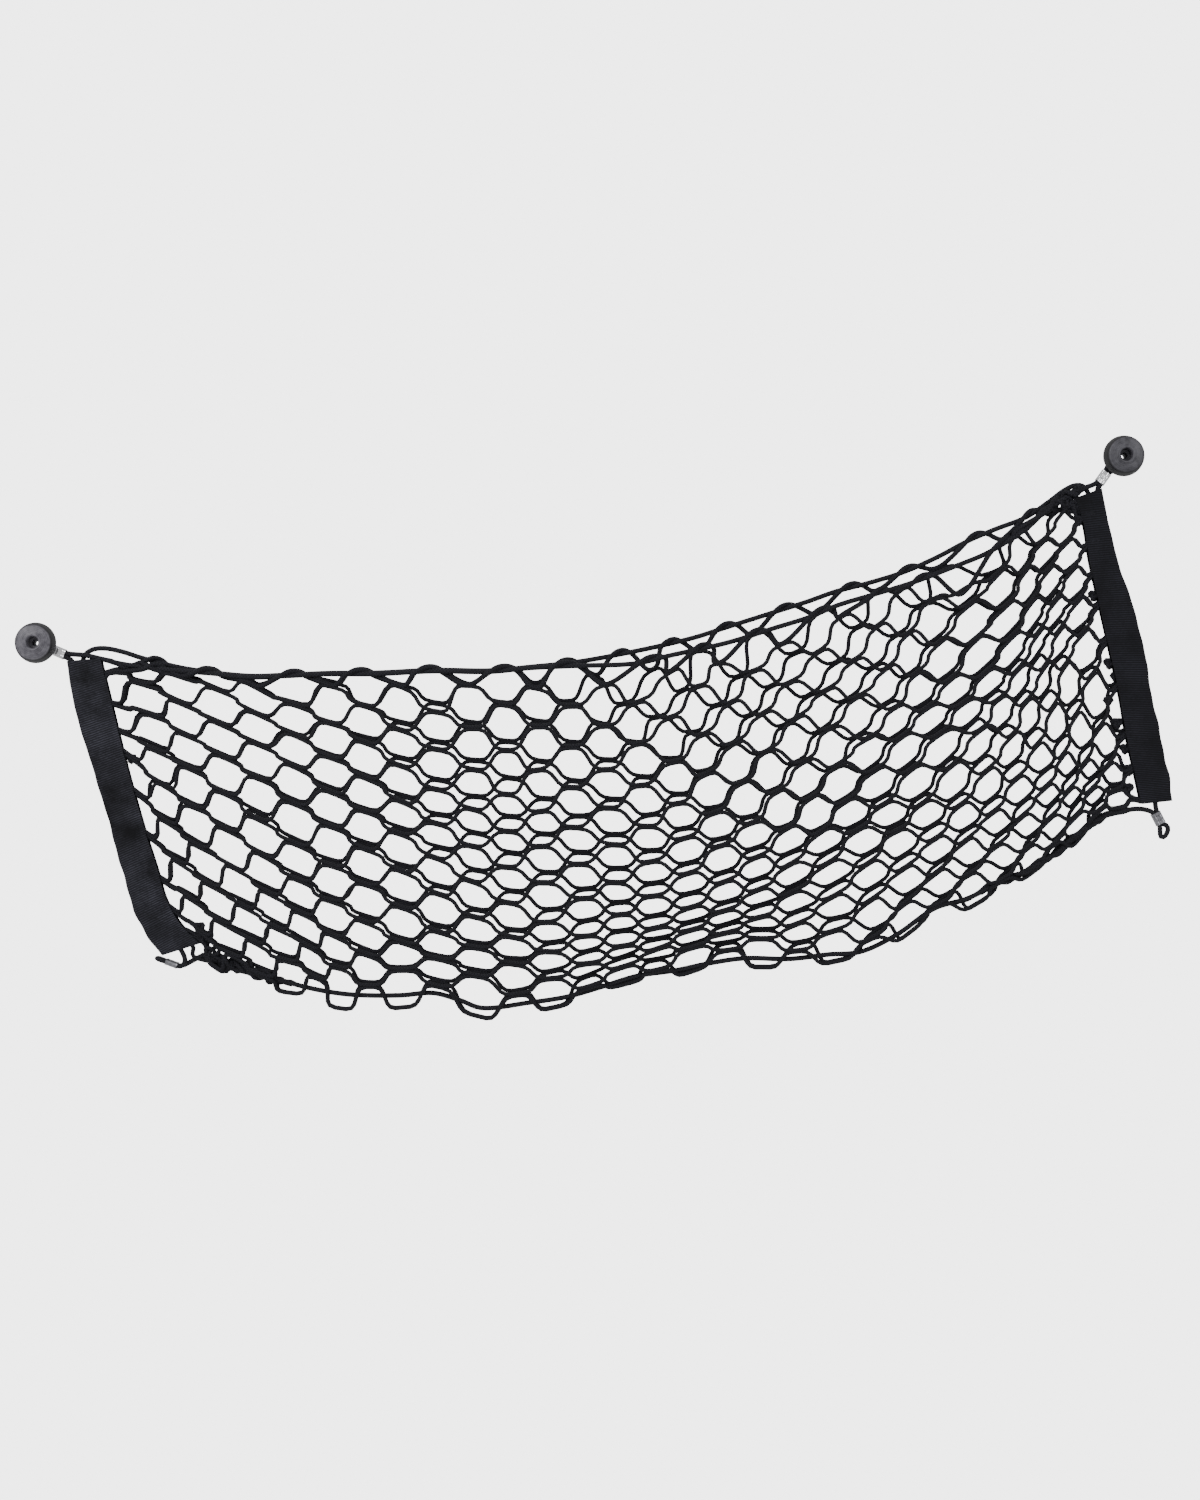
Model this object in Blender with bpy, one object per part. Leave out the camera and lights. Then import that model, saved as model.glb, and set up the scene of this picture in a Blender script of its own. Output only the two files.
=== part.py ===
"""Envelope cargo net for a car boot, hung by its two upper corners from two screw-on knobs.

One piece of knotless elastic netting is folded along its bottom edge into an open-topped pocket.
Each end is bound in a folded webbing band. An endless elastic cord runs along the front top edge,
down inside both bands and along the inside of the bottom fold. At the four corners it leaves
the net as a loop, pinched by a crimped metal sleeve, and the two upper loops hang round
the necks of the knobs. A second elastic cord carries the back top edge.

The wall is the plane Y = 0, the net hangs in front of it towards -Y, and X runs to the right.
The origin is on the left knob's screw axis, at the wall. Sizes are in millimetres.
"""
import math

import bmesh
import bpy
import numpy as np
from mathutils import Vector

MM = 0.001

# ---- driving sizes ---------------------------------------------------------------------------
SPAN = 977.8                # from the left knob's axis to the right knob's, sideways
RISE = 168.0                # how much higher the right knob is
KNOB_R = 18.4               # knob head
NECK_R = 6.7                # the neck that carries the loop
FOOT_R = 11.0               # the knob's foot on the wall
SCREW_R = 2.6               # bore for the screw
RECESS_R = 5.5              # recess for the screw's head
CORD_D = 3.2                # elastic edge cord
LOOP_Y = -6.5               # depth of the upper loops, in the middle of the necks
NET_Y = -7.0                # depth of the middle of the bands and of the net's ends
GAP = 0.3                   # running gap between touching pieces
LOOP_PLAY = 0.5             # the upper loops' room round the necks
ROUTE_STEP = 38.0           # longest straight piece of a cord

SLEEVE_LONG = 11.0          # crimped sleeve
SLEEVE_WALL = 0.7
PAIR = 3.6                  # spacing of the two cords inside a sleeve
MOUTH = 1.0                 # how far the cords run straight on past a sleeve's mouth

WEB_THICK = 1.3             # webbing of the end bands
BAND_OUTER = 6.7            # band's thickness at the folded outer edge, where the cord runs
BAND_INNER = 9.6            # band's thickness at the open inner edge, where the net goes in
CORD_IN_BAND = 3.95         # how far inward of the outer edge the cord runs in the fold
LAYER_IN_BAND = 1.7         # each net layer's distance from the band's middle

NET_THICK = 2.0             # netting, as thick as its strands
WAVES = 11                  # cells in a row, at about one and a half times the real pitch
ROWS = 24                   # half rows of cells from the front top edge to the back one
BAR = 3.4                   # width of a bar between two joints
JOINT = 5.6                 # width of a joint, where two strands lie side by side
JOINT_LONG = 13.0
SELVEDGE = 4.0              # width of the thicker strand along the two top edges
STUB = 7.0                  # how far the net reaches into a band
FLAT_LONG = 860.0           # nominal length and height of one layer, for laying out the cells
FLAT_HIGH = 285.0


# ---- colours ---------------------------------------------------------------------------------
def material(name, colour, roughness, metallic=0.0):
    mat = bpy.data.materials.new(name)
    mat.use_nodes = True
    shader = mat.node_tree.nodes["Principled BSDF"]
    shader.inputs["Base Color"].default_value = (*colour, 1.0)
    shader.inputs["Roughness"].default_value = roughness
    shader.inputs["Metallic"].default_value = metallic
    return mat


def node(name, mesh, mat, smooth_angle=40.0):
    """A named object for one finished piece, shaded smooth but for its sharp edges."""
    obj = bpy.data.objects.new(name, mesh)
    bpy.context.scene.collection.objects.link(obj)
    mesh.materials.append(mat)
    mesh.shade_smooth()
    mesh.set_sharp_from_angle(angle=math.radians(smooth_angle))
    return obj


def mesh_of(name, points, faces):
    """A mesh from millimetre points, with every face turned outwards."""
    mesh = bpy.data.meshes.new(name)
    mesh.from_pydata([Vector(p) * MM for p in points], [], faces)
    bm = bmesh.new()
    bm.from_mesh(mesh)
    bmesh.ops.recalc_face_normals(bm, faces=bm.faces)
    bm.to_mesh(mesh)
    bm.free()
    return mesh


# ---- knobs -----------------------------------------------------------------------------------
def knob(name, x, z, mat, steps=32):
    """A moulded plastic knob: foot, neck, head with a tapering side and a domed face, recess for
    the screw's head and bore."""
    profile = [                                  # radius, depth in front of the wall
        (SCREW_R, 0.0), (FOOT_R, 0.0), (FOOT_R, 2.2), (NECK_R, 2.9), (NECK_R, 10.4),
        (KNOB_R - 1.2, 10.4), (KNOB_R, 11.6), (KNOB_R, 13.4), (KNOB_R - 0.9, 17.8),
        (KNOB_R - 2.0, 21.4), (KNOB_R - 3.8, 23.2), (KNOB_R - 9.0, 24.2), (RECESS_R + 0.8, 24.4),
        (RECESS_R, 23.8), (RECESS_R, 14.5), (SCREW_R, 14.5)]
    points = []
    for turn in range(steps):
        angle = math.tau * turn / steps
        points += [(x + r * math.cos(angle), -deep, z + r * math.sin(angle)) for r, deep in profile]
    faces = []
    count = len(profile)
    for turn in range(steps):
        here, there = turn * count, (turn + 1) % steps * count
        for i in range(count):
            j = (i + 1) % count
            faces.append((here + i, here + j, there + j, there + i))
    return node(name, mesh_of(name, points, faces), mat)


# ---- cord routes -----------------------------------------------------------------------------
def smooth(route, step, closed=False):
    """A Catmull-Rom curve through the route's points, read about every step millimetres."""
    pts = np.array(route, float)
    count = len(pts)
    spans = count if closed else count - 1
    out = []
    for i in range(spans):
        if closed:
            p0, p1, p2, p3 = (pts[(i + k) % count] for k in (-1, 0, 1, 2))
        else:
            p1, p2 = pts[i], pts[i + 1]
            p0 = pts[i - 1] if i > 0 else 2 * p1 - p2
            p3 = pts[i + 2] if i + 2 < count else 2 * p2 - p1
        k0, k1, k2 = (math.sqrt(np.linalg.norm(b - a)) for a, b in ((p0, p1), (p1, p2), (p2, p3)))
        t1, t2, t3 = k0, k0 + k1, k0 + k1 + k2
        pieces = max(1, math.ceil(np.linalg.norm(p2 - p1) / step))
        for t in np.linspace(t1, t2, pieces, endpoint=False):
            a1 = (t1 - t) / t1 * p0 + t / t1 * p1
            a2 = (t2 - t) / k1 * p1 + (t - t1) / k1 * p2
            a3 = (t3 - t) / k2 * p2 + (t - t2) / k2 * p3
            b1 = (t2 - t) / t2 * a1 + t / t2 * a2
            b2 = (t3 - t) / (t3 - t1) * a2 + (t - t1) / (t3 - t1) * a3
            out.append((t2 - t) / k1 * b1 + (t - t1) / k1 * b2)
    if not closed:
        out.append(pts[-1])
    return np.array(out)


def cord(name, points, mat, closed=False):
    """A round elastic cord along the given points."""
    curve = bpy.data.curves.new(name, "CURVE")
    curve.dimensions = "3D"
    curve.bevel_depth = CORD_D / 2 * MM
    curve.bevel_resolution = 2
    curve.use_fill_caps = not closed
    spline = curve.splines.new("POLY")
    spline.points.add(len(points) - 1)
    for point, place in zip(spline.points, points):
        point.co = (*(Vector(place) * MM), 1.0)
        point.radius = 1.0
    spline.use_cyclic_u = closed
    obj = bpy.data.objects.new(name, curve)
    bpy.context.scene.collection.objects.link(obj)
    curve.materials.append(mat)
    return obj


def unit(v):
    v = np.array(v, float)
    return v / np.linalg.norm(v)


# The four crimped sleeves: middle, direction towards the loop, and the side on which the cord
# that runs along the net lies. The lower left one hangs edge on, so its two cords are one
# behind the other.
SLEEVES = {
    "upper_left": dict(at=(19.6, LOOP_Y, -8.2), to=(-0.92, 0, 0.39), side=(0.39, 0, 0.92)),
    "upper_right": dict(at=(960.6, LOOP_Y, 149.2), to=(0.58, 0, 0.81), side=(-0.81, 0, 0.58)),
    "lower_right": dict(at=(1010.2, NET_Y, -157.9), to=(0.46, 0, -0.89), side=(-0.89, 0, -0.46)),
    "lower_left": dict(at=(121.3, NET_Y, -288.7), to=(-0.94, 0, 0.34), side=(0, 1, 0)),
}


def in_sleeve(name, side, ends=(-1, 1)):
    """Where a cord enters and leaves a sleeve; side 1 is the net's cord, -1 the band's."""
    sleeve = SLEEVES[name]
    at, to, across = np.array(sleeve["at"]), unit(sleeve["to"]), unit(sleeve["side"])
    return [at + across * side * PAIR / 2 + to * end * (SLEEVE_LONG / 2 + MOUTH) for end in ends]


def round_neck(name, x, z, turns=11, wrap=130):
    """The loop round a knob's neck, wrap degrees to each side, from the band's cord to the net's."""
    sleeve = SLEEVES[name]
    centre = np.array((x, LOOP_Y, z))
    away = unit(centre - np.array(sleeve["at"]))
    across = unit(np.array(sleeve["side"]) - away * np.dot(sleeve["side"], away))
    radius = NECK_R + CORD_D / 2 + LOOP_PLAY
    angles = np.radians(np.linspace(-wrap, wrap, turns))
    return [centre + radius * (away * math.cos(a) + across * math.sin(a)) for a in angles]


def loose_loop(name, shape):
    """A loose loop, drawn from the sleeve's mouth as (ahead, towards the net's cord) pairs."""
    sleeve = SLEEVES[name]
    mouth = np.array(sleeve["at"]) + unit(sleeve["to"]) * SLEEVE_LONG / 2
    return [mouth + unit(sleeve["to"]) * a + unit(sleeve["side"]) * b for a, b in shape]


# ---- end bands -------------------------------------------------------------------------------
# Sections from top to bottom: the folded outer edge, the open inner edge, both as (x, z), and the
# depth of the band's middle. The left band leans and its foot is drawn in under the net.
BAND_LEFT = [
    # outer x, outer z, inner x, inner z, depth
    (27.0, -19.6, 58.0, -17.4, -7.0),
    (33.0, -55.8, 67.5, -54.0, -7.0),
    (50.4, -114.3, 80.6, -107.5, -7.4),
    (68.0, -172.8, 98.0, -169.0, -8.0),
    (79.7, -216.0, 109.5, -205.0, -8.4),
    (91.0, -250.0, 117.5, -231.5, -8.6),
    (103.5, -270.0, 130.5, -253.5, -8.2),
    (114.0, -281.0, 147.0, -270.5, -7.2),
]
BAND_RIGHT = [
    (959.4, 139.6, 935.0, 130.8, -7.0),
    (966.6, 104.8, 942.4, 107.2, -7.0),
    (975.2, 69.3, 947.5, 75.0, -7.4),
    (984.2, 44.1, 954.0, 45.0, -7.8),
    (995.7, 2.7, 963.5, 2.7, -8.2),
    (1004.9, -51.3, 975.2, -51.3, -8.4),
    (1013.0, -85.5, 980.5, -83.0, -8.2),
    (1018.7, -115.2, 987.0, -112.0, -7.8),
    (1022.6, -142.0, 994.4, -145.0, -7.0),
]


def band_place(rows, share, inward):
    """A point in a band, share of the way down it and inward millimetres from its outer edge."""
    row = np.interp(share * (len(rows) - 1), range(len(rows)), range(len(rows)))
    ox, oz, ix, iz, depth = (np.interp(row, range(len(rows)), [r[k] for r in rows]) for k in range(5))
    outer, inner = np.array((ox, depth, oz)), np.array((ix, depth, iz))
    return outer + unit(inner - outer) * inward


def band_edge(rows, share):
    """The middle of a band's open inner edge, share of its length down from its top."""
    inner = np.array([(r[2], r[4], r[3]) for r in rows])
    length = np.concatenate(([0], np.cumsum(np.linalg.norm(np.diff(inner, axis=0), axis=1))))
    return np.array([np.interp(share * length[-1], length, inner[:, k]) for k in range(3)])


def band(name, rows, mat, arc=6):
    """Webbing folded lengthwise: a hairpin section, closed outside, open towards the net."""
    sections = []
    for k in range(len(rows)):
        share = k / (len(rows) - 1)
        ox, oz, ix, iz, _ = rows[k]
        wide = math.hypot(ix - ox, iz - oz)
        outline = [(wide, -BAND_INNER / 2)]
        for half, inside in ((BAND_OUTER / 2, False), (BAND_OUTER / 2 - WEB_THICK, True)):
            bend = [math.radians(-90 - 180 * i / arc) for i in range(arc + 1)]
            if inside:
                outline.append((wide, BAND_INNER / 2))
                outline.append((wide, BAND_INNER / 2 - WEB_THICK))
                bend.reverse()
            outline += [(BAND_OUTER / 2 + half * math.cos(a), half * math.sin(a)) for a in bend]
        outline.append((wide, -BAND_INNER / 2 + WEB_THICK))
        sections.append([band_place(rows, share, s) + np.array((0, y, 0)) for s, y in outline])
    count = len(sections[0])
    points = [p for section in sections for p in section]
    faces = []
    for k in range(len(sections) - 1):
        for i in range(count):
            j = (i + 1) % count
            a, b = k * count, (k + 1) * count
            faces.append((a + i, a + j, b + j, b + i))
    # Each end of the hairpin is closed by a strip of quads between its outer and inner line.
    half = count // 2
    for start in (0, (len(sections) - 1) * count):
        ring = list(range(start, start + count))
        outer = ring[:half]
        inner = [ring[-1 - i] for i in range(half)]
        for i in range(half - 1):
            faces.append((outer[i], outer[i + 1], inner[i + 1], inner[i]))
    return node(name, mesh_of(name, points, faces), mat)


# ---- edge cords ------------------------------------------------------------------------------
# Hand-set routes, left to right, as (x, depth, z).
TOP_FRONT = [
    (43.6, -8.9, -11.0), (58.0, -8.8, -14.2), (72.8, -9.2, -18.0), (94.0, -10.4, -21.4),
    (124.5, -12.0, -24.8), (158.9, -14.0, -27.5), (193.1, -16.0, -31.0), (227.8, -17.8, -29.8),
    (262.2, -19.6, -28.3), (306.0, -21.6, -28.3), (357.8, -23.6, -25.9), (409.1, -24.8, -26.4),
    (443.8, -25.0, -23.1), (484.0, -25.0, -21.2), (540.0, -24.6, -18.9), (567.5, -24.0, -12.4),
    (591.8, -23.4, -7.0), (622.4, -22.4, 0.0), (663.8, -20.8, 13.0), (695.0, -19.4, 22.8),
    (719.1, -18.2, 33.0), (753.4, -16.4, 43.4), (787.8, -14.6, 54.0), (825.8, -12.6, 68.6),
    (853.2, -11.2, 79.8), (877.1, -10.2, 93.6), (894.6, -9.6, 106.0), (911.8, -9.0, 122.4),
    (932.0, -8.8, 133.4), (943.5, -9.4, 139.6)]
TOP_BACK = [
    (43.5, -7.0, -46.0), (41.5, -7.0, -30.0), (40.5, -6.4, -19.5), (42.3, -4.9, -10.6),
    (49.5, -4.8, -5.6), (60.6, -5.2, -4.6), (76.0, -5.2, -7.6), (94.7, -5.2, -13.5),
    (129.2, -5.4, -22.0), (158.9, -5.8, -26.5), (193.1, -6.0, -29.5), (227.8, -6.2, -28.4),
    (262.2, -6.3, -27.0), (306.0, -6.4, -26.6), (357.8, -6.5, -24.2), (409.1, -6.5, -24.6),
    (443.8, -6.5, -21.4), (484.0, -6.5, -17.2), (540.0, -6.4, -7.0), (591.8, -6.4, 5.0),
    (619.2, -6.3, 13.7), (667.4, -6.2, 29.0), (695.0, -6.1, 37.8), (719.1, -6.0, 46.4),
    (748.2, -5.9, 54.0), (780.8, -5.8, 64.1), (811.9, -5.6, 77.9), (839.3, -5.4, 92.4),
    (863.6, -5.2, 102.8), (891.1, -5.2, 113.5), (911.8, -5.2, 127.4), (926.6, -5.2, 138.4),
    (936.5, -4.9, 142.6), (943.6, -5.0, 141.4), (947.6, -6.2, 134.5), (949.5, -7.0, 124.0),
    (951.5, -7.0, 108.0)]
BOTTOM = [
    (132.0, -5.2, -290.2), (138.5, -5.6, -286.9), (149.9, -6.6, -281.6), (160.5, -7.0, -283.0),
    (176.0, -7.3, -288.6), (194.9, -7.8, -296.6), (217.4, -8.4, -302.9), (246.2, -9.8, -310.6),
    (281.0, -11.8, -316.0), (327.2, -14.2, -316.6), (357.8, -15.2, -314.4), (382.0, -15.8, -321.0),
    (400.7, -16.2, -327.6), (443.8, -16.8, -322.8), (478.2, -17.0, -317.4), (507.2, -17.0, -309.1),
    (540.0, -16.9, -299.0), (574.5, -16.6, -294.0), (605.3, -16.2, -287.6), (636.5, -15.6, -283.2),
    (677.8, -14.6, -283.8), (712.2, -13.6, -280.0), (741.2, -12.8, -277.6), (773.4, -12.0, -262.6),
    (808.5, -11.0, -238.6), (837.5, -10.3, -230.0), (862.2, -9.6, -218.0), (891.1, -8.9, -205.0),
    (922.1, -8.1, -186.3), (953.1, -7.4, -159.6), (975.0, -7.0, -152.4), (990.0, -7.0, -149.4),
    (1000.0, -7.0, -150.4)]
# The two loose loops, as (ahead of the sleeve's mouth, towards the net's cord).
LOOP_LOWER_RIGHT = [
    (3.4, -3.6), (6.4, -3.9), (9.6, -1.4), (11.8, 2.6), (11.2, 5.2), (7.4, 4.6), (3.8, 2.8)]
LOOP_LOWER_LEFT = [(3.2, -2.6), (6.2, -3.0), (8.6, 0.0), (6.2, 3.0), (3.2, 2.6)]
# Where the cord turns from the lower left sleeve up into the left band.
INTO_BAND_LEFT = [(131.2, -8.8, -290.4), (133.4, -8.6, -285.2)]


def in_band(rows, ends, sections):
    """The edge cord's places inside a band: in the outer fold at the given sections, with ends
    as (share of the way down, inward) where it comes in and goes out."""
    first, last = ends
    fold = [(section / (len(rows) - 1), CORD_IN_BAND) for section in sections]
    return [band_place(rows, share, inward) for share, inward in first + fold + last]


def edge_cord_route():
    """The endless cord: up inside the left band, along the front, down inside the right band,
    and back along the bottom fold, with a loop at each corner."""
    foot, head = [(0.96, 16.0), (6 / 7, 9.0)], [(0.05, CORD_IN_BAND), (0.0, 4.6)]
    route = in_band(BAND_LEFT, (foot, head), (5, 4, 3, 2, 1))
    route += in_sleeve("upper_left", -1) + round_neck("upper_left", 0.0, 0.0)
    route += in_sleeve("upper_left", 1, (1, -1)) + TOP_FRONT
    route += in_sleeve("upper_right", 1) + round_neck("upper_right", SPAN, RISE)[::-1]
    route += in_sleeve("upper_right", -1, (1, -1))
    head, foot = [(0.0, 4.2), (0.05, CORD_IN_BAND)], [(7 / 8, 7.0), (0.97, 14.0)]
    route += in_band(BAND_RIGHT, (head, foot), (1, 2, 3, 4, 5, 6))
    route += in_sleeve("lower_right", -1) + loose_loop("lower_right", LOOP_LOWER_RIGHT)
    route += in_sleeve("lower_right", 1, (1, -1)) + BOTTOM[::-1]
    route += in_sleeve("lower_left", 1) + loose_loop("lower_left", LOOP_LOWER_LEFT)[::-1]
    route += in_sleeve("lower_left", -1, (1, -1)) + INTO_BAND_LEFT
    return route


def sleeve_solid(name, mat, arc=6):
    """An oval metal sleeve, pressed round two cords lying side by side."""
    sleeve = SLEEVES[name]
    at, to, across = np.array(sleeve["at"]), unit(sleeve["to"]), unit(sleeve["side"])
    thin = np.cross(to, across)
    inside = CORD_D / 2 + GAP
    rings = []
    for end in (-1, 1):
        for radius in (inside + SLEEVE_WALL, inside):
            ring = []
            for side in (1, -1):
                for i in range(arc + 1):
                    a = math.pi * i / arc
                    ring.append((side * (PAIR / 2 + radius * math.sin(a)), side * radius * math.cos(a)))
            rings.append([at + to * end * SLEEVE_LONG / 2 + across * b + thin * c for b, c in ring])
    count = len(rings[0])
    points = [p for ring in rings for p in ring]
    faces = []
    for a, b in ((0, 1), (1, 3), (3, 2), (2, 0)):
        for i in range(count):
            j = (i + 1) % count
            faces.append((a * count + i, a * count + j, b * count + j, b * count + i))
    return node("sleeve_" + name, mesh_of(name, points, faces), mat)


# ---- netting ---------------------------------------------------------------------------------
# Where the cells hang, by their share of the net's length: sideways places along the front and
# the back top cord, and the line of the bottom fold with its depth and the radius of its bend.
HANG = [
    # share, front x, back x, fold x, fold z, fold depth, fold radius
    (0.000, 58.0, 58.0, 145.0, -264.5, -7.2, 1.8),
    (0.023, 77.0, 77.0, 165.0, -277.0, -7.4, 2.4),
    (0.068, 116.0, 116.0, 203.0, -309.0, -8.2, 3.6),
    (0.118, 155.0, 155.0, 245.0, -325.0, -9.8, 4.2),
    (0.176, 231.0, 231.0, 291.0, -331.0, -12.2, 4.4),
    (0.294, 354.0, 354.0, 377.0, -332.0, -15.6, 4.8),
    (0.412, 477.5, 477.5, 471.0, -331.0, -17.0, 5.0),
    (0.530, 554.0, 571.0, 552.0, -307.0, -16.8, 5.0),
    (0.647, 643.0, 673.0, 638.0, -292.5, -15.4, 4.8),
    (0.765, 764.0, 784.0, 732.0, -289.0, -13.0, 4.4),
    (0.882, 856.0, 875.0, 845.0, -240.0, -10.1, 4.2),
    (0.932, 893.0, 898.0, 905.0, -211.0, -8.6, 3.8),
    (0.977, 921.0, 921.0, 970.0, -146.0, -7.3, 2.4),
    (1.000, 934.5, 934.5, 990.0, -134.0, -7.1, 1.8),
]
BEND = 0.02                 # share of a layer's height taken by each half of the bottom bend
DRAWN = 0.18                # how much closer the rows lie at the bottom of the right end
DRAWN_FROM, DRAWN_OVER = 0.45, 0.4    # shares of the length where that begins and over which it grows
BELLY = 5.0                 # how far the front layer bulges between top and bottom
BETWEEN = (55.0, 937.0)     # the stretch of the top cords, in x, that the netting hangs from
SLOPE_STEP = 6.0            # how far to each side a cord's slope is taken
SELVEDGE_CLEAR = 0.6        # the selvedge strand's distance from its cord
BAND_HEAD, BAND_LONG = 0.012, 0.95    # the netting's top in a band, and its length as a share of it
END_FADE = 0.12             # share of the height over which the band's lean fades in and out


def hang(share, column):
    return np.interp(share, [row[0] for row in HANG], [row[column] for row in HANG])


def smoothstep(x):
    x = np.clip(x, 0.0, 1.0)
    return x * x * (3 - 2 * x)


class Drape:
    """The hanging netting as a surface over (share of the length, 0 front top .. 2 back top)."""

    def __init__(self, front_cord, back_cord):
        self.cords = []
        for points in (front_cord, back_cord):
            points = points[(points[:, 0] > BETWEEN[0]) & (points[:, 0] < BETWEEN[1])]
            self.cords.append(points[np.argsort(points[:, 0])])

    def top(self, share, back):
        """The selvedge strand's middle, just under the top cord."""
        cord_points = self.cords[1 if back else 0]
        x = hang(share, 2 if back else 1)
        depth, z = (np.interp(x, cord_points[:, 0], cord_points[:, k]) for k in (1, 2))
        nearby = (x - SLOPE_STEP, x + SLOPE_STEP)
        before, after = np.interp(nearby, cord_points[:, 0], cord_points[:, 2])
        slope = (after - before) / (2 * SLOPE_STEP)
        clear = (CORD_D / 2 + SELVEDGE_CLEAR) * math.hypot(1, slope)
        return np.array((x, depth, z - clear - SELVEDGE / 2))

    def layer(self, share, down, back):
        """A point of one layer, down = 0 at its top cord and 1 where the bottom bend begins."""
        sign = 1 if back else -1
        in_band_depth = np.array((0, sign * LAYER_IN_BAND, 0))

        def foot(s):
            return np.array((hang(s, 3), hang(s, 5) + sign * hang(s, 6), hang(s, 4) + hang(s, 6)))

        down = down ** (1 - DRAWN * smoothstep((share - DRAWN_FROM) / DRAWN_OVER))
        place = (1 - down) * self.top(share, back) + down * foot(share)
        fade = smoothstep(down / END_FADE) * smoothstep((1 - down) / END_FADE)
        for rows, end, weight in ((BAND_LEFT, 0.0, (1 - share) ** 4), (BAND_RIGHT, 1.0, share ** 4)):
            edge = band_edge(rows, BAND_HEAD + BAND_LONG * down) + in_band_depth
            line = (1 - down) * self.top(end, back) + down * foot(end)
            place = place + weight * fade * (edge - line)
        if not back:
            place[1] -= BELLY * math.sin(math.pi * share) * math.sin(math.pi * down)
        return place

    def __call__(self, long, high):
        """long and high are millimetres on the flat netting, from its front top left corner."""
        share, turn = long / FLAT_LONG, high / FLAT_HIGH
        inside = min(max(share, 0.0), 1.0)
        level = min(max(turn, 0.0), 2.0)
        if abs(level - 1) <= BEND:
            angle = (level - 1) / BEND * math.pi / 2
            radius = hang(inside, 6)
            place = np.array((hang(inside, 3), hang(inside, 5) + radius * math.sin(angle),
                              hang(inside, 4) + radius * (1 - math.cos(angle))))
        else:
            place = self.layer(inside, min(level, 2 - level) / (1 - BEND), level > 1)
        place[2] += (level - turn) * FLAT_HIGH if level < 1 else (turn - level) * FLAT_HIGH
        if inside != share:
            rows = BAND_LEFT if share < 0 else BAND_RIGHT
            down = min(level, 2 - level)
            into = unit(band_place(rows, down, 0.0) - band_place(rows, down, 1.0))
            place = place + into * abs(share - inside) * FLAT_LONG
        return place


def corner(at, a, width_a, b, width_b):
    """Where the edges of two bars leaving one point in directions a and b meet."""
    turn = a[0] * b[1] - a[1] * b[0]
    return at + (width_b / 2 * a + width_a / 2 * b) / abs(turn)


def net(name, drape, mat):
    """The netting in one piece: joints and bars as ribbons laid out flat, then hung in place."""
    pitch = FLAT_LONG / WAVES
    row_high = 2 * FLAT_HIGH / (ROWS - 1)
    creases = [FLAT_HIGH * (1 + BEND * w) for w in (-1, -0.5, 0, 0.5, 1)]
    spots, faces = [], []

    def spot(place):
        spots.append(np.array(place, float))
        return len(spots) - 1

    def joint_width(row):
        return SELVEDGE if row in (0, ROWS - 1) else JOINT

    def knot(row, at, side):
        """Corner points round one end of a joint; side 1 is its right end. Returns the edge of
        the joint's ribbon and those of its bars up and down."""
        back = np.array((-side, 0.0))
        bars = {}
        for way in (-1, 1):
            if 0 <= row + way < ROWS:
                bars[way] = unit((side * (pitch / 2 - JOINT_LONG), way * row_high))
        width = joint_width(row)
        above = spot(corner(at, back, width, bars[-1], BAR)) if -1 in bars else None
        below = spot(corner(at, back, width, bars[1], BAR)) if 1 in bars else None
        if above is None:
            above = spot(2 * at - spots[below])
        if below is None:
            below = spot(2 * at - spots[above])
        if len(bars) == 2:
            tip = spot(corner(at, bars[-1], BAR, bars[1], BAR))
            faces.append((above, below, tip))
            return (above, below), {-1: (above, tip), 1: (tip, below)}
        return (above, below), {way: (above, below) for way in bars}

    ends = {}
    for row in range(ROWS):
        odd = row % 2
        for i in range(WAVES + 1 - odd):
            middle = np.array(((i + odd / 2) * pitch, row * row_high))
            reach = np.array((JOINT_LONG / 2, 0.0))
            last = not odd and i == WAVES
            first = not odd and i == 0
            width = joint_width(row) / 2
            if first:
                left = tuple(spot((-STUB, middle[1] + way * width)) for way in (-1, 1))
            else:
                left, ends[row, 2 * i + odd, -1] = knot(row, middle - reach, -1)
            if last:
                right = tuple(spot((FLAT_LONG + STUB, middle[1] + way * width)) for way in (-1, 1))
            else:
                right, ends[row, 2 * i + odd, 1] = knot(row, middle + reach, 1)
            faces.append((left[0], right[0], right[1], left[1]))
    for row in range(ROWS - 1):
        for (r, column, side), bars in list(ends.items()):
            other = ends.get((row + 1, column + side, -side))
            if r != row or other is None:
                continue
            upper, lower = bars[1], other[-1]
            lines = [[upper[0], lower[0]], [upper[1], lower[1]]]
            high = [max(spots[i][1] for i in upper), min(spots[i][1] for i in lower)]
            for crease in creases:
                if high[0] < crease < high[1]:
                    for line in lines:
                        a, b = spots[line[0]], spots[line[-1]]
                        share = (crease - a[1]) / (b[1] - a[1])
                        line.insert(-1, spot(a + share * (b - a)))
            for i in range(len(lines[0]) - 1):
                faces.append((lines[0][i], lines[0][i + 1], lines[1][i + 1], lines[1][i]))
    mesh = mesh_of(name, [drape(*s) for s in spots], faces)
    obj = node(name, mesh, mat, 60.0)
    thick = obj.modifiers.new("thickness", "SOLIDIFY")
    thick.thickness = NET_THICK * MM
    thick.offset = 0.0
    return obj


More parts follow.
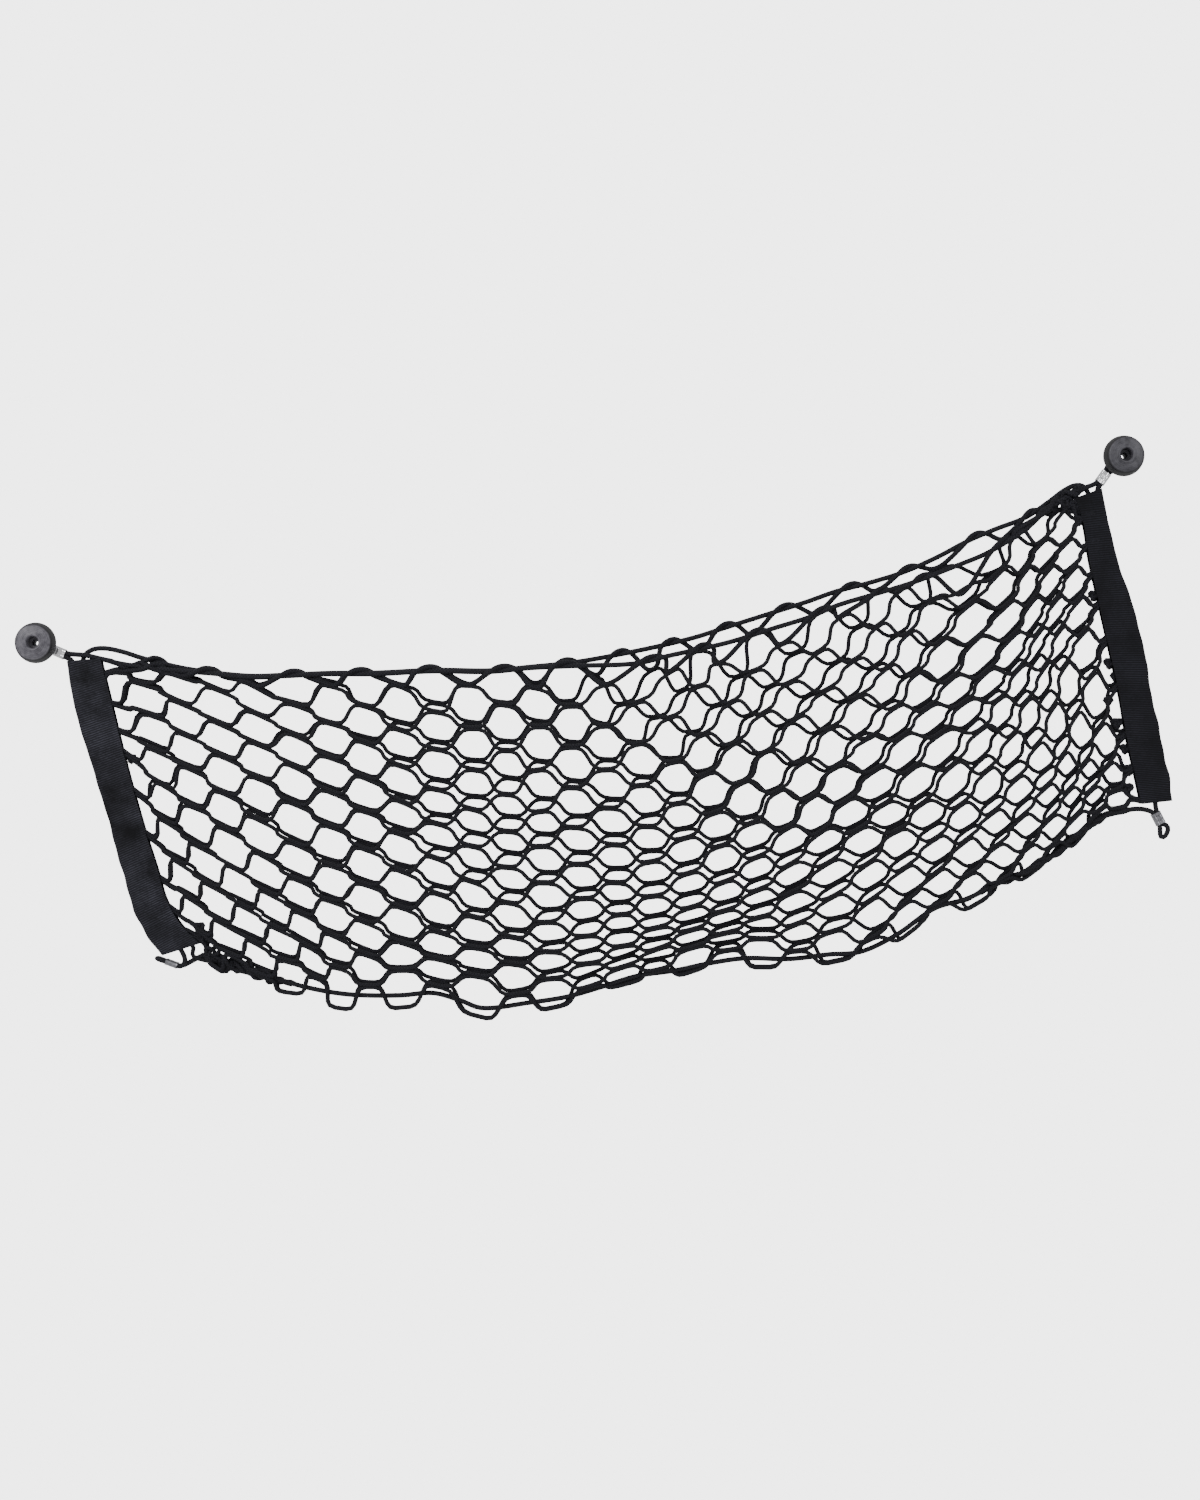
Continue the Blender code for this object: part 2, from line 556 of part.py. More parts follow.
# ---- the object ------------------------------------------------------------------------------
def build():
    for old in list(bpy.data.objects):
        bpy.data.objects.remove(old, do_unlink=True)
    plastic = material("knob_plastic", (0.075, 0.073, 0.080), 0.45)
    elastic = material("elastic_cord", (0.011, 0.011, 0.014), 0.70)
    netting = material("elastic_netting", (0.010, 0.010, 0.012), 0.75)
    webbing = material("webbing", (0.014, 0.014, 0.018), 0.80)
    metal = material("sleeve_metal", (0.80, 0.80, 0.82), 0.25, 1.0)

    knob("knob_left", 0.0, 0.0, plastic)
    knob("knob_right", SPAN, RISE, plastic)
    for name in SLEEVES:
        sleeve_solid(name, metal)
    front_top = smooth(TOP_FRONT, ROUTE_STEP)
    back_top = smooth(TOP_BACK, ROUTE_STEP)
    cord("edge_cord", smooth(edge_cord_route(), ROUTE_STEP, closed=True), elastic, closed=True)
    cord("back_top_cord", back_top, elastic)
    band("band_left", BAND_LEFT, webbing)
    band("band_right", BAND_RIGHT, webbing)
    net("net", Drape(front_top, back_top), netting)


build()
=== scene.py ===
import math

import bpy
import numpy as np
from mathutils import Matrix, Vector


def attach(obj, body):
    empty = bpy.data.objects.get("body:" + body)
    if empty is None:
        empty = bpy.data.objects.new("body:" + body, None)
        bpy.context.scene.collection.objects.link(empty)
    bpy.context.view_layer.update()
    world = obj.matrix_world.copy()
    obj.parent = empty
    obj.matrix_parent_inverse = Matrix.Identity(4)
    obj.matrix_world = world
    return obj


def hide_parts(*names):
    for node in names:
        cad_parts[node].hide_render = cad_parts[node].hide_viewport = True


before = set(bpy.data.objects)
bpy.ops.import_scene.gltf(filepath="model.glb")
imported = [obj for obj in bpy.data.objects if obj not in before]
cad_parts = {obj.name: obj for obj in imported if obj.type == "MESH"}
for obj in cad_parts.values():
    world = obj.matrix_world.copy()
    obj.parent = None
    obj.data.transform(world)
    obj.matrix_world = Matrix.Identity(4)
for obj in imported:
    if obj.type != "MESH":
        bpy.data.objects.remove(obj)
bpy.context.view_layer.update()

# ==== Edge cord ===============================================================================
# One endless elastic cord, rubber threads in a braided black polyester cover. It runs along the
# front top of the net, down inside both end bands and along the bottom fold, and leaves the net
# as a loop at each corner, where a metal sleeve pinches it. Sizes here are in millimetres.
MM = 0.001                   # metres in a millimetre
CORD_D = 4.6                 # drawn fuller than the real 3.2, which a bright backdrop would thin
CORD_IN_BAND = 3.95          # how far inward of a band's outer edge the cord runs
NECK_R, LOOP_GAP = 6.7, 0.5  # a knob's neck, and the loop's play round it
SPAN, RISE = 977.8, 168.0    # from the left knob's axis to the right one's
LOOP_Y, LOWER_Y = -6.5, -7.0   # depth of the upper loops and sleeves, and of the lower sleeves
SLEEVE_LONG, PAIR = 11.0, 3.6   # a sleeve, and its two cords from axis to axis
MOUTH = 1.0                  # how far past a sleeve's end its cords run straight


def colour(code):
    """The linear colour of an sRGB hex code: c / 12.92 in the darks, else ((c + 0.055) / 1.055)
    to the power 2.4."""
    c = np.array([int(code[i:i + 2], 16) for i in (1, 3, 5)]) / 255
    return (*np.where(c <= 0.04045, c / 12.92, ((c + 0.055) / 1.055) ** 2.4), 1.0)


def add(mat, kind, sockets, **settings):
    """Adds one shader node with its settings. A socket gets a value, or a link from a socket."""
    node = mat.node_tree.nodes.new("ShaderNode" + kind)
    for name, value in settings.items():
        setattr(node, name, value)
    for name, value in sockets.items():
        if isinstance(value, bpy.types.NodeSocket):
            mat.node_tree.links.new(value, node.inputs[name])
        else:
            node.inputs[name].default_value = value
    return node


def finish(name, **values):
    """A new material and its Principled shader, with the shader's plain values set."""
    mat = bpy.data.materials.new(name)
    mat.use_nodes = True
    shader = mat.node_tree.nodes["Principled BSDF"]
    for socket, value in values.items():
        shader.inputs[socket.replace("_", " ")].default_value = value
    return mat, shader


def unit(v):
    """Each vector divided by its own length."""
    return v / np.linalg.norm(v, axis=-1, keepdims=True)


def smooth(route, step, closed=False):
    """A centripetal Catmull-Rom curve through the route, read again about every step
    millimetres: two linear blends of neighbouring points, blended twice more, with the square
    root of each chord as its time."""
    pts = np.array(route, float)
    if closed:
        p = np.concatenate((pts[-1:], pts, pts[:2]))
    else:
        p = np.concatenate((2 * pts[:1] - pts[1:2], pts, 2 * pts[-1:] - pts[-2:-1]))
    p0, p1, p2, p3 = (p[i:len(p) - 3 + i, None] for i in range(4))
    k0, k1, k2 = (np.sqrt(np.linalg.norm(b - a, axis=-1, keepdims=True))
                  for a, b in ((p0, p1), (p1, p2), (p2, p3)))
    t1, t2, t3 = k0, k0 + k1, k0 + k1 + k2
    t = t1 + k1 * np.linspace(0, 1, 24, endpoint=False)[None, :, None]
    a1 = ((t1 - t) * p0 + t * p1) / t1
    a2 = ((t2 - t) * p1 + (t - t1) * p2) / k1
    a3 = ((t3 - t) * p2 + (t - t2) * p3) / k2
    b1 = ((t2 - t) * a1 + t * a2) / t2
    b2 = ((t3 - t) * a2 + (t - t1) * a3) / (t3 - t1)
    line = (((t2 - t) * b1 + (t - t1) * b2) / k1).reshape(-1, 3)
    line = np.concatenate((line, line[:1] if closed else pts[-1:]))
    far = np.concatenate(([0], np.cumsum(np.linalg.norm(np.diff(line, axis=0), axis=1))))
    even = np.linspace(0, far[-1], max(2, int(far[-1] / step)) + 1)
    line = np.stack([np.interp(even, far, line[:, k]) for k in range(3)], axis=1)
    return line[:-1] if closed else line


def skin(name, grids, mat, closed=False, angle=60):
    """A mesh of tubes: in each grid (points, along), ring i's point j is points[i, j], and rings
    are joined by quads. A closed tube joins its last ring to its first, and an open one is shut
    at both ends. UV is along in metres and around from 0 to 1."""
    verts, quads, uvs, caps = [], [], [], []
    start = 0
    for points, along in grids:
        n, m = points.shape[:2]
        rings = n if closed else n - 1
        i, j = np.meshgrid(np.arange(rings), np.arange(m), indexing="ij")
        near, far = i * m, (i + 1) % n * m
        quad = np.stack((near + j, far + j, far + (j + 1) % m, near + (j + 1) % m), axis=-1)
        quads.append(quad.reshape(-1, 4) + start)
        far_along = np.append(along, along[-1] + (along[1] - along[0]))
        u = np.stack((far_along[i], far_along[i + 1], far_along[i + 1], far_along[i]), axis=-1)
        v = np.stack((j, j, j + 1, j + 1), axis=-1) / m
        uvs.append(np.stack((u * MM, v), axis=-1).reshape(-1, 2))
        verts.append(points.reshape(-1, 3) * MM)
        if not closed:
            caps += [(np.arange(m) + start).tolist(),
                     (np.arange(m)[::-1] + start + (n - 1) * m).tolist()]
        start += n * m
    verts, quads, uvs = np.concatenate(verts), np.concatenate(quads), np.concatenate(uvs)
    # Rings that run the other way round would face inwards, which gives a volume under zero.
    p = verts[quads] - verts.mean(axis=0)
    volume = sum(np.sum(p[:, 0] * np.cross(p[:, k], p[:, k + 1])) for k in (1, 2)) / 6
    if volume < 0:
        quads, uvs = quads[:, ::-1], uvs.reshape(-1, 4, 2)[:, ::-1]
        caps = [cap[::-1] for cap in caps]
    mesh = bpy.data.meshes.new(name)
    mesh.from_pydata(verts, [], quads.tolist() + caps)
    uv_map = mesh.uv_layers.new(name="UVMap")
    values = np.zeros(2 * len(mesh.loops))
    values[:uvs.size] = uvs.ravel()
    uv_map.data.foreach_set("uv", values)
    mesh.materials.append(mat)
    mesh.shade_smooth()
    mesh.set_sharp_from_angle(angle=math.radians(angle))
    mesh.update()
    obj = bpy.data.objects.new(name, mesh)
    bpy.context.scene.collection.objects.link(obj)
    return obj


def tube(line, radius, around=12, closed=False):
    """Rings round a line: a point of ring i is the line's point plus radius times the cosine of
    its angle across the wall's direction and the sine of it along it. Also the length so far."""
    ahead = np.roll(line, -1, axis=0) - np.roll(line, 1, axis=0)
    if not closed:
        ahead[0], ahead[-1] = line[1] - line[0], line[-1] - line[-2]
    ahead = unit(ahead)
    side = unit(np.cross(ahead, (0.0, 1.0, 0.0)))
    up = np.cross(side, ahead)
    a = np.linspace(0, math.tau, around, endpoint=False)[None, :, None]
    radius = np.broadcast_to(radius, len(line))[:, None, None]
    points = line[:, None] + radius * (np.cos(a) * side[:, None] + np.sin(a) * up[:, None])
    along = np.concatenate(([0], np.cumsum(np.linalg.norm(np.diff(line, axis=0), axis=1))))
    return points, along


# Each sleeve's middle, the way towards its loop, and the side on which the net's cord lies.
SLEEVES = {
    "upper_left": ((19.6, LOOP_Y, -8.2), (-0.92, 0, 0.39), (0.39, 0, 0.92)),
    "upper_right": ((960.6, LOOP_Y, 149.2), (0.58, 0, 0.81), (-0.81, 0, 0.58)),
    "lower_right": ((1010.2, LOWER_Y, -157.9), (0.46, 0, -0.89), (-0.89, 0, -0.46)),
    "lower_left": ((121.3, LOWER_Y, -288.7), (-0.94, 0, 0.34), (0, 1, 0)),
}
# A band's sections from top to bottom: outer edge and inner edge as (x, z), depth of its middle.
BAND_LEFT = np.array([
    (26.5, -16.2, 57.5, -13.6, -7.0), (33.0, -55.8, 67.5, -54.0, -7.0),
    (50.4, -114.3, 80.6, -107.5, -7.4), (68.0, -172.8, 98.0, -169.0, -8.0),
    (79.7, -216.0, 109.5, -205.0, -8.4), (91.0, -250.0, 117.5, -231.5, -8.6),
    (103.5, -270.0, 130.5, -253.5, -8.2), (114.0, -281.0, 147.0, -270.5, -7.2)])
BAND_RIGHT = np.array([
    (959.4, 139.6, 935.0, 130.8, -7.0), (966.6, 104.8, 942.4, 107.2, -7.0),
    (975.2, 69.3, 947.5, 75.0, -7.4), (984.2, 44.1, 954.0, 45.0, -7.8),
    (995.7, 2.7, 963.5, 2.7, -8.2), (1004.9, -51.3, 975.2, -51.3, -8.4),
    (1013.0, -85.5, 980.5, -83.0, -8.2), (1018.7, -115.2, 987.0, -112.0, -7.8),
    (1022.6, -142.0, 994.4, -145.0, -7.0)])
# Routes as (x, depth, z) from left to right.
TOP_FRONT = [
    (43.6, -8.9, -11.0), (58.0, -8.8, -14.2), (72.8, -9.2, -18.0), (94.0, -10.4, -21.4),
    (124.5, -12.0, -24.8), (158.9, -14.0, -27.5), (193.1, -16.0, -31.0), (227.8, -17.8, -29.8),
    (262.2, -19.6, -28.3), (306.0, -21.6, -28.3), (357.8, -23.6, -25.9), (409.1, -24.8, -26.4),
    (443.8, -25.0, -23.1), (484.0, -25.0, -21.2), (540.0, -24.6, -18.9), (567.5, -24.0, -12.4),
    (591.8, -23.4, -7.0), (622.4, -22.4, 0.0), (663.8, -20.8, 13.0), (695.0, -19.4, 22.8),
    (719.1, -18.2, 33.0), (753.4, -16.4, 43.4), (787.8, -14.6, 54.0), (825.8, -12.6, 68.6),
    (853.2, -11.2, 79.8), (877.1, -10.2, 93.6), (894.6, -9.6, 106.0), (911.8, -9.0, 122.4),
    (932.0, -8.8, 133.4), (943.5, -9.4, 139.6)]
BOTTOM = [
    (132.0, -5.2, -290.2), (138.5, -5.6, -286.9), (149.9, -6.6, -281.6), (160.5, -7.0, -283.0),
    (176.0, -7.3, -288.6), (194.9, -7.8, -296.6), (217.4, -8.4, -302.9), (246.2, -9.8, -310.6),
    (281.0, -11.8, -316.0), (327.2, -14.2, -316.6), (357.8, -15.2, -314.4), (382.0, -15.8, -321.0),
    (400.7, -16.2, -327.6), (443.8, -16.8, -322.8), (478.2, -17.0, -317.4), (507.2, -17.0, -309.1),
    (540.0, -16.9, -299.0), (574.5, -16.6, -294.0), (605.3, -16.2, -287.6), (636.5, -15.6, -283.2),
    (677.8, -14.6, -283.8), (712.2, -13.6, -280.0), (741.2, -12.8, -277.6), (773.4, -12.0, -262.6),
    (808.5, -11.0, -238.6), (837.5, -10.3, -230.0), (862.2, -9.6, -218.0), (891.1, -8.9, -205.0),
    (922.1, -8.1, -186.3), (953.1, -7.4, -159.6), (975.0, -7.0, -152.4), (990.0, -7.0, -149.4),
    (1000.0, -7.0, -150.4)]
# The two loose loops, as (ahead of the sleeve's mouth, towards the net's cord).
LOOP_LOWER_RIGHT = [
    (3.4, -3.6), (6.4, -3.9), (9.6, -1.4), (11.8, 2.6), (11.2, 5.2), (7.4, 4.6), (3.8, 2.8)]
LOOP_LOWER_LEFT = [(3.2, -2.6), (6.2, -3.0), (8.6, 0.0), (6.2, 3.0), (3.2, 2.6)]
# From the lower left sleeve up into the band.
INTO_BAND_LEFT = [(131.2, -8.8, -290.4), (133.4, -8.6, -285.2)]


def sleeve_axes(name):
    """A sleeve's middle, the way to its loop, the way across its two cords, and through it."""
    at, to, across = (np.array(v, float) for v in SLEEVES[name])
    to, across = unit(to), unit(across)
    return at, to, across, np.cross(to, across)


def in_sleeve(name, side, ends=(-1, 1)):
    """Where the net's cord (side 1) or the band's cord (-1) goes in and out of a sleeve."""
    at, to, across, _ = sleeve_axes(name)
    return [at + across * side * PAIR / 2 + to * end * (SLEEVE_LONG / 2 + MOUTH) for end in ends]


def round_neck(name, x, z):
    """The loop round a knob's neck: an arc about the neck, 130 degrees to each side, that starts
    and ends towards the sleeve."""
    centre = np.array((x, LOOP_Y, z))
    at, _, across, _ = sleeve_axes(name)
    away = unit(centre - at)
    across = unit(across - away * (across @ away))
    a = np.radians(np.linspace(-130, 130, 11))[:, None]
    return list(centre + (NECK_R + CORD_D / 2 + LOOP_GAP) * (away * np.cos(a) + across * np.sin(a)))


def loose_loop(name, shape):
    """A loose loop's points, from its shape at the mouth of its sleeve."""
    at, to, across, _ = sleeve_axes(name)
    return [at + to * (SLEEVE_LONG / 2 + a) + across * b for a, b in shape]


def in_band(rows, places):
    """Points in a band, from (section from the top, millimetres inward of the outer edge)."""
    section, inward = np.array(places, float).T
    ox, oz, ix, iz, depth = (np.interp(section, np.arange(len(rows)), rows[:, k]) for k in range(5))
    outer, inner = np.stack((ox, depth, oz), axis=1), np.stack((ix, depth, iz), axis=1)
    return list(outer + unit(inner - outer) * inward[:, None])


edge_route = in_band(BAND_LEFT, [(6.72, 16.0), (6, 9.0)]
                     + [(row, CORD_IN_BAND) for row in (5, 4, 3, 2, 1, 0.35)] + [(0, 4.6)])
edge_route += in_sleeve("upper_left", -1) + round_neck("upper_left", 0.0, 0.0)
edge_route += in_sleeve("upper_left", 1, (1, -1)) + TOP_FRONT
edge_route += in_sleeve("upper_right", 1) + round_neck("upper_right", SPAN, RISE)[::-1]
edge_route += in_sleeve("upper_right", -1, (1, -1))
edge_route += in_band(BAND_RIGHT, [(0, 4.2)]
                      + [(row, CORD_IN_BAND) for row in (0.4, 1, 2, 3, 4, 5, 6)]
                      + [(7, 7.0), (7.76, 14.0)])
edge_route += in_sleeve("lower_right", -1) + loose_loop("lower_right", LOOP_LOWER_RIGHT)
edge_route += in_sleeve("lower_right", 1, (1, -1)) + BOTTOM[::-1]
edge_route += in_sleeve("lower_left", 1) + loose_loop("lower_left", LOOP_LOWER_LEFT)[::-1]
edge_route += in_sleeve("lower_left", -1, (1, -1)) + INTO_BAND_LEFT


def braid(name, base, light, lengthwise, strands, rough, deep):
    """Braided cover: two sets of thread bundles wind round the core both ways, and the higher
    of two sine waves over (along, around) shows. One bundle is lengthwise millimetres long and
    deep millimetres high, and where noise of 0.26 spots to the millimetre is high, the bundles'
    crowns are painted lighter as a painted glint."""
    mat, shader = finish(name, Roughness=rough, Specular_IOR_Level=0.2, Sheen_Weight=0.03,
                         Sheen_Roughness=0.4)
    uv = add(mat, "UVMap", {})
    split = add(mat, "SeparateXYZ", {0: uv.outputs[0]})
    turn = add(mat, "Math", {0: split.outputs[1], 1: math.tau * strands}, operation="MULTIPLY")
    run = add(mat, "Math", {0: split.outputs[0], 1: math.tau / (lengthwise * MM)},
              operation="MULTIPLY")
    both = [add(mat, "Math", {0: add(mat, "Math", {0: run.outputs[0], 1: turn.outputs[0]},
                                     operation=way).outputs[0]}, operation="SINE")
            for way in ("ADD", "SUBTRACT")]
    high = add(mat, "Math", {0: both[0].outputs[0], 1: both[1].outputs[0]}, operation="MAXIMUM")
    spot = add(mat, "TexNoise", {"Vector": add(mat, "TexCoord", {}).outputs["Object"],
                                 "Scale": 0.26 / MM, "Detail": 3.0})
    # Painted glint: where the noise is high, the bundles' crowns are mixed towards the light colour.
    painted_glint = add(mat, "Math", {0: high.outputs[0], 1: spot.outputs["Fac"]}, operation="MULTIPLY")
    tint = add(mat, "Mix", {"Factor": painted_glint.outputs[0], 6: colour(base), 7: colour(light)},
               data_type="RGBA")
    bump = add(mat, "Bump", {"Height": high.outputs[0], "Strength": 0.8, "Distance": deep * MM})
    mat.node_tree.links.new(tint.outputs[2], shader.inputs["Base Color"])
    mat.node_tree.links.new(bump.outputs[0], shader.inputs["Normal"])
    return mat


# Braided black polyester over rubber: dull, with small painted glints, a lighter colour
# where the bundles crown.
cord_black = braid("braided_black_polyester", "#121216", "#2e2e37", 3.0, 4, 0.65, 0.25)
edge_line = smooth(edge_route, 2.6, closed=True)
edge_cord = skin("edge_cord_braided", [tube(edge_line, CORD_D / 2, 12, True)], cord_black, True)
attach(edge_cord, "root")
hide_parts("edge_cord")

# ==== Back top cord ===========================================================================
# The same elastic cord, about a metre of it, which carries the back top edge of the pocket.
# It comes out of the left band's top, arches over, and goes into the right band's top.
TOP_BACK = [
    (43.5, -7.0, -46.0), (41.5, -7.0, -30.0), (40.5, -6.4, -19.5), (42.3, -4.9, -10.6),
    (49.5, -4.8, -5.6), (60.6, -5.2, -4.6), (76.0, -5.2, -7.6), (94.7, -5.2, -13.5),
    (129.2, -5.4, -22.0), (158.9, -5.8, -26.5), (193.1, -6.0, -29.5), (227.8, -6.2, -28.4),
    (262.2, -6.3, -27.0), (306.0, -6.4, -26.6), (357.8, -6.5, -24.2), (409.1, -6.5, -24.6),
    (443.8, -6.5, -21.4), (484.0, -6.5, -17.2), (540.0, -6.4, -7.0), (591.8, -6.4, 5.0),
    (619.2, -6.3, 13.7), (667.4, -6.2, 29.0), (695.0, -6.1, 37.8), (719.1, -6.0, 46.4),
    (748.2, -5.9, 54.0), (780.8, -5.8, 64.1), (811.9, -5.6, 77.9), (839.3, -5.4, 92.4),
    (863.6, -5.2, 102.8), (891.1, -5.2, 113.5), (911.8, -5.2, 127.4), (926.6, -5.2, 138.4),
    (936.5, -4.9, 142.6), (943.6, -5.0, 141.4), (947.6, -6.2, 134.5), (949.5, -7.0, 124.0),
    (951.5, -7.0, 108.0)]
back_line = smooth(TOP_BACK, 2.6)
back_cord = skin("back_top_cord_braided", [tube(back_line, CORD_D / 2)], cord_black)
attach(back_cord, "root")
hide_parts("back_top_cord")

# ==== Crimped sleeves =========================================================================
# Short oval tubes rolled from bright plated steel strip and pressed round two lengths of cord.
# The press leaves a waist between the cords, with the strip's two edges meeting along it.
SLEEVE_WALL, SLEEVE_OUT = 0.7, 2.95     # its wall, and the radius of its round ends outside
PRESS_DEEP, FLARE = 0.16, 0.22          # the press marks, and how far the mouths open
WAIST_DEEP, SEAM_DEEP = 1.5, 0.5        # the dip between the cords, and the strip's joint in it


def crimped(name, turns=56, rings=26):
    """An oval tube with a waist: half its thickness is the sine of the angle times the radius,
    less a bell-shaped dip between the cords and two shallow press marks along its length."""
    at, to, across, thin = sleeve_axes(name)
    a = np.linspace(0, math.tau, turns, endpoint=False)[None, :]
    t = np.linspace(-1, 1, rings)[:, None]
    press = PRESS_DEEP * np.exp(-((np.abs(t) - 0.42) / 0.13) ** 2)
    flare = FLARE * np.abs(t) ** 9

    def wall(radius):
        wide = np.sign(np.cos(a)) * PAIR / 2 * np.minimum(1, np.abs(np.cos(a)) * 2.4)
        wide = wide + (radius + flare) * np.cos(a)
        high = (radius - press + flare) * np.sin(a)
        seam = SEAM_DEEP * np.exp(-(wide / 0.22) ** 2) * (high < 0)
        dip = WAIST_DEEP * np.exp(-wide ** 2) + seam
        high = high - np.sign(high) * dip * (radius == SLEEVE_OUT)
        return wide, high

    def place(wide, high, long):
        return (at + to * (long * SLEEVE_LONG / 2)[..., None] + across * wide[..., None]
                + thin * high[..., None])

    outside = place(*wall(SLEEVE_OUT), np.broadcast_to(t, (rings, turns)))
    wide, high = wall(SLEEVE_OUT - SLEEVE_WALL)
    inside = place(wide, high, np.broadcast_to(t, (rings, turns)))[::-1]
    loop = np.concatenate((outside, inside))
    return loop, np.arange(len(loop)) * SLEEVE_LONG / rings


def plating(name, dark, bright, rough):
    """Nickel-plated mild steel, pressed: bright in broad soft bands, with faint cloudy marks of
    half a spot to the millimetre."""
    mat, shader = finish(name, Metallic=1.0)
    lines = add(mat, "TexNoise", {"Vector": add(mat, "TexCoord", {}).outputs["Object"],
                                  "Scale": 0.5 / MM, "Detail": 1.0})
    tone = add(mat, "Mix", {"Factor": lines.outputs["Fac"], 6: colour(dark), 7: colour(bright)},
               data_type="RGBA")
    worn = add(mat, "MapRange", {"Value": lines.outputs["Fac"], "To Min": rough - 0.05,
                                 "To Max": rough + 0.05})
    fine = add(mat, "Bump", {"Height": lines.outputs["Fac"], "Strength": 0.12,
                             "Distance": 0.03 * MM})
    mat.node_tree.links.new(tone.outputs[2], shader.inputs["Base Color"])
    mat.node_tree.links.new(worn.outputs[0], shader.inputs["Roughness"])
    mat.node_tree.links.new(fine.outputs[0], shader.inputs["Normal"])
    return mat


# The upper sleeves are bright nickel. The lower two are the same nickel, drawn rougher, with
# their colour painted dull grey as painted shade.
plated = {"upper": plating("nickel_plated_steel", "#dcdcdf", "#f4f4f6", 0.22),
          "lower": plating("nickel_steel_painted_shade", "#6c6c72", "#a9a9ae", 0.34)}
for name in SLEEVES:
    sleeve = skin("sleeve_crimped_" + name, [crimped(name)], plated[name.split("_")[0]], True, 40)
    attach(sleeve, "root")
    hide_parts("sleeve_" + name)

# ==== Knobs ===================================================================================
# Two moulded grey plastic knobs, each screwed to the wall through its middle. The head overhangs
# a narrow neck that the corner loop goes round, and has a recess for the screw's head.
KNOB_R, RECESS_R, SCREW_R, FOOT_R = 18.4, 5.5, 2.6, 11.0
RING_PITCH = 1.6                       # from one faint ring to the next
# The flank's near black is painted shade, mixed in from the first radius to the second.
FLANK_SHADE_FROM, FLANK_SHADE_TO = 15.2, 16.2      # the radii where the dark flank begins and is full
KNOB_PROFILE = np.array([                       # radius, depth in front of the wall
    (SCREW_R, 0.0), (FOOT_R - 0.6, 0.0), (FOOT_R - 0.15, 0.2), (FOOT_R, 0.6), (FOOT_R, 1.8),
    (FOOT_R - 0.4, 2.15), (8.2, 2.5), (NECK_R + 0.4, 2.9), (NECK_R, 3.5), (NECK_R, 9.8),
    (NECK_R + 0.5, 10.3), (9.0, 10.4), (16.6, 10.45), (17.5, 10.7), (18.2, 11.2),
    (KNOB_R, 11.9), (KNOB_R, 13.1), (18.3, 14.0), (17.95, 16.0), (17.45, 18.0), (17.0, 19.8),
    (16.6, 21.0), (16.1, 21.9), (15.4, 22.7), (14.4, 23.25), (13.0, 23.6), (11.4, 23.85),
    (9.6, 24.05), (8.3, 24.15), (8.15, 24.3), (7.0, 24.45), (6.3, 24.4), (5.8, 24.1),
    (RECESS_R, 23.5), (5.4, 20.0), (5.35, 15.2), (5.1, 14.6), (4.6, 14.5), (2.9, 14.5),
    (SCREW_R, 14.2)])


def turned(x, z, steps=96):
    """The profile carried round its axis: x plus r times the cosine, z plus r times the sine."""
    a = np.linspace(0, math.tau, steps, endpoint=False)[None, :]
    r, deep = KNOB_PROFILE[:, 0][:, None], KNOB_PROFILE[:, 1][:, None]
    points = np.stack((x + r * np.cos(a), -deep + 0 * a, z + r * np.sin(a)), axis=-1)
    return points, np.arange(len(KNOB_PROFILE)) * 1.0


def moulded(name, x, z, base, light):
    """Moulded grey polypropylene: satin, with faint rings about the axis, cloudy flow marks of
    0.19 and a grain of 1.6 spots to the millimetre, and the head's flank painted near black
    as painted shade. The rings, the marks of the mould's turning, are drawn coarser than real,
    so that they show."""
    mat, shader = finish(name, IOR=1.49, Specular_IOR_Level=0.4)
    place = add(mat, "TexCoord", {}).outputs["Object"]
    centred = add(mat, "Mapping", {"Vector": place, "Location": (-x * MM, 0.0, -z * MM)})
    split = add(mat, "SeparateXYZ", {0: centred.outputs[0]})
    flat = add(mat, "CombineXYZ", {0: split.outputs[0], 1: split.outputs[2]})
    radius = add(mat, "VectorMath", {0: flat.outputs[0]}, operation="LENGTH")
    wave = add(mat, "Math", {0: radius.outputs["Value"], 1: math.tau / (RING_PITCH * MM)},
               operation="MULTIPLY")
    rings = add(mat, "Math", {0: wave.outputs[0]}, operation="SINE")
    cloud = add(mat, "TexNoise", {"Vector": place, "Scale": 0.19 / MM, "Detail": 4.0,
                                  "Roughness": 0.6})
    grain = add(mat, "TexNoise", {"Vector": place, "Scale": 1.6 / MM, "Detail": 2.0})
    marks = add(mat, "MapRange", {"Value": cloud.outputs["Fac"], "From Min": 0.32,
                                  "From Max": 0.68})
    lit = add(mat, "Math", {0: rings.outputs[0], 1: 0.12, 2: marks.outputs[0]},
              operation="MULTIPLY_ADD")
    tint = add(mat, "Mix", {"Factor": lit.outputs[0], 6: colour(base), 7: colour(light)},
               data_type="RGBA", clamp_factor=True)
    # Painted shade: beyond a radius, the head's flank is mixed towards near black.
    flank_shade = add(mat, "MapRange", {"Value": radius.outputs["Value"], "From Min": FLANK_SHADE_FROM * MM,
                                  "From Max": FLANK_SHADE_TO * MM, "To Min": 0.0, "To Max": 0.9})
    tint = add(mat, "Mix", {"Factor": flank_shade.outputs[0], 6: tint.outputs[2],
                            7: colour("#101013")}, data_type="RGBA")
    rough = add(mat, "MapRange", {"Value": cloud.outputs["Fac"], "To Min": 0.32, "To Max": 0.55})
    low = add(mat, "Bump", {"Height": rings.outputs[0], "Strength": 0.35, "Distance": 0.06 * MM})
    fine = add(mat, "Bump", {"Height": grain.outputs["Fac"], "Strength": 0.3,
                             "Distance": 0.05 * MM, "Normal": low.outputs[0]})
    mat.node_tree.links.new(tint.outputs[2], shader.inputs["Base Color"])
    mat.node_tree.links.new(rough.outputs[0], shader.inputs["Roughness"])
    mat.node_tree.links.new(fine.outputs[0], shader.inputs["Normal"])
    return mat
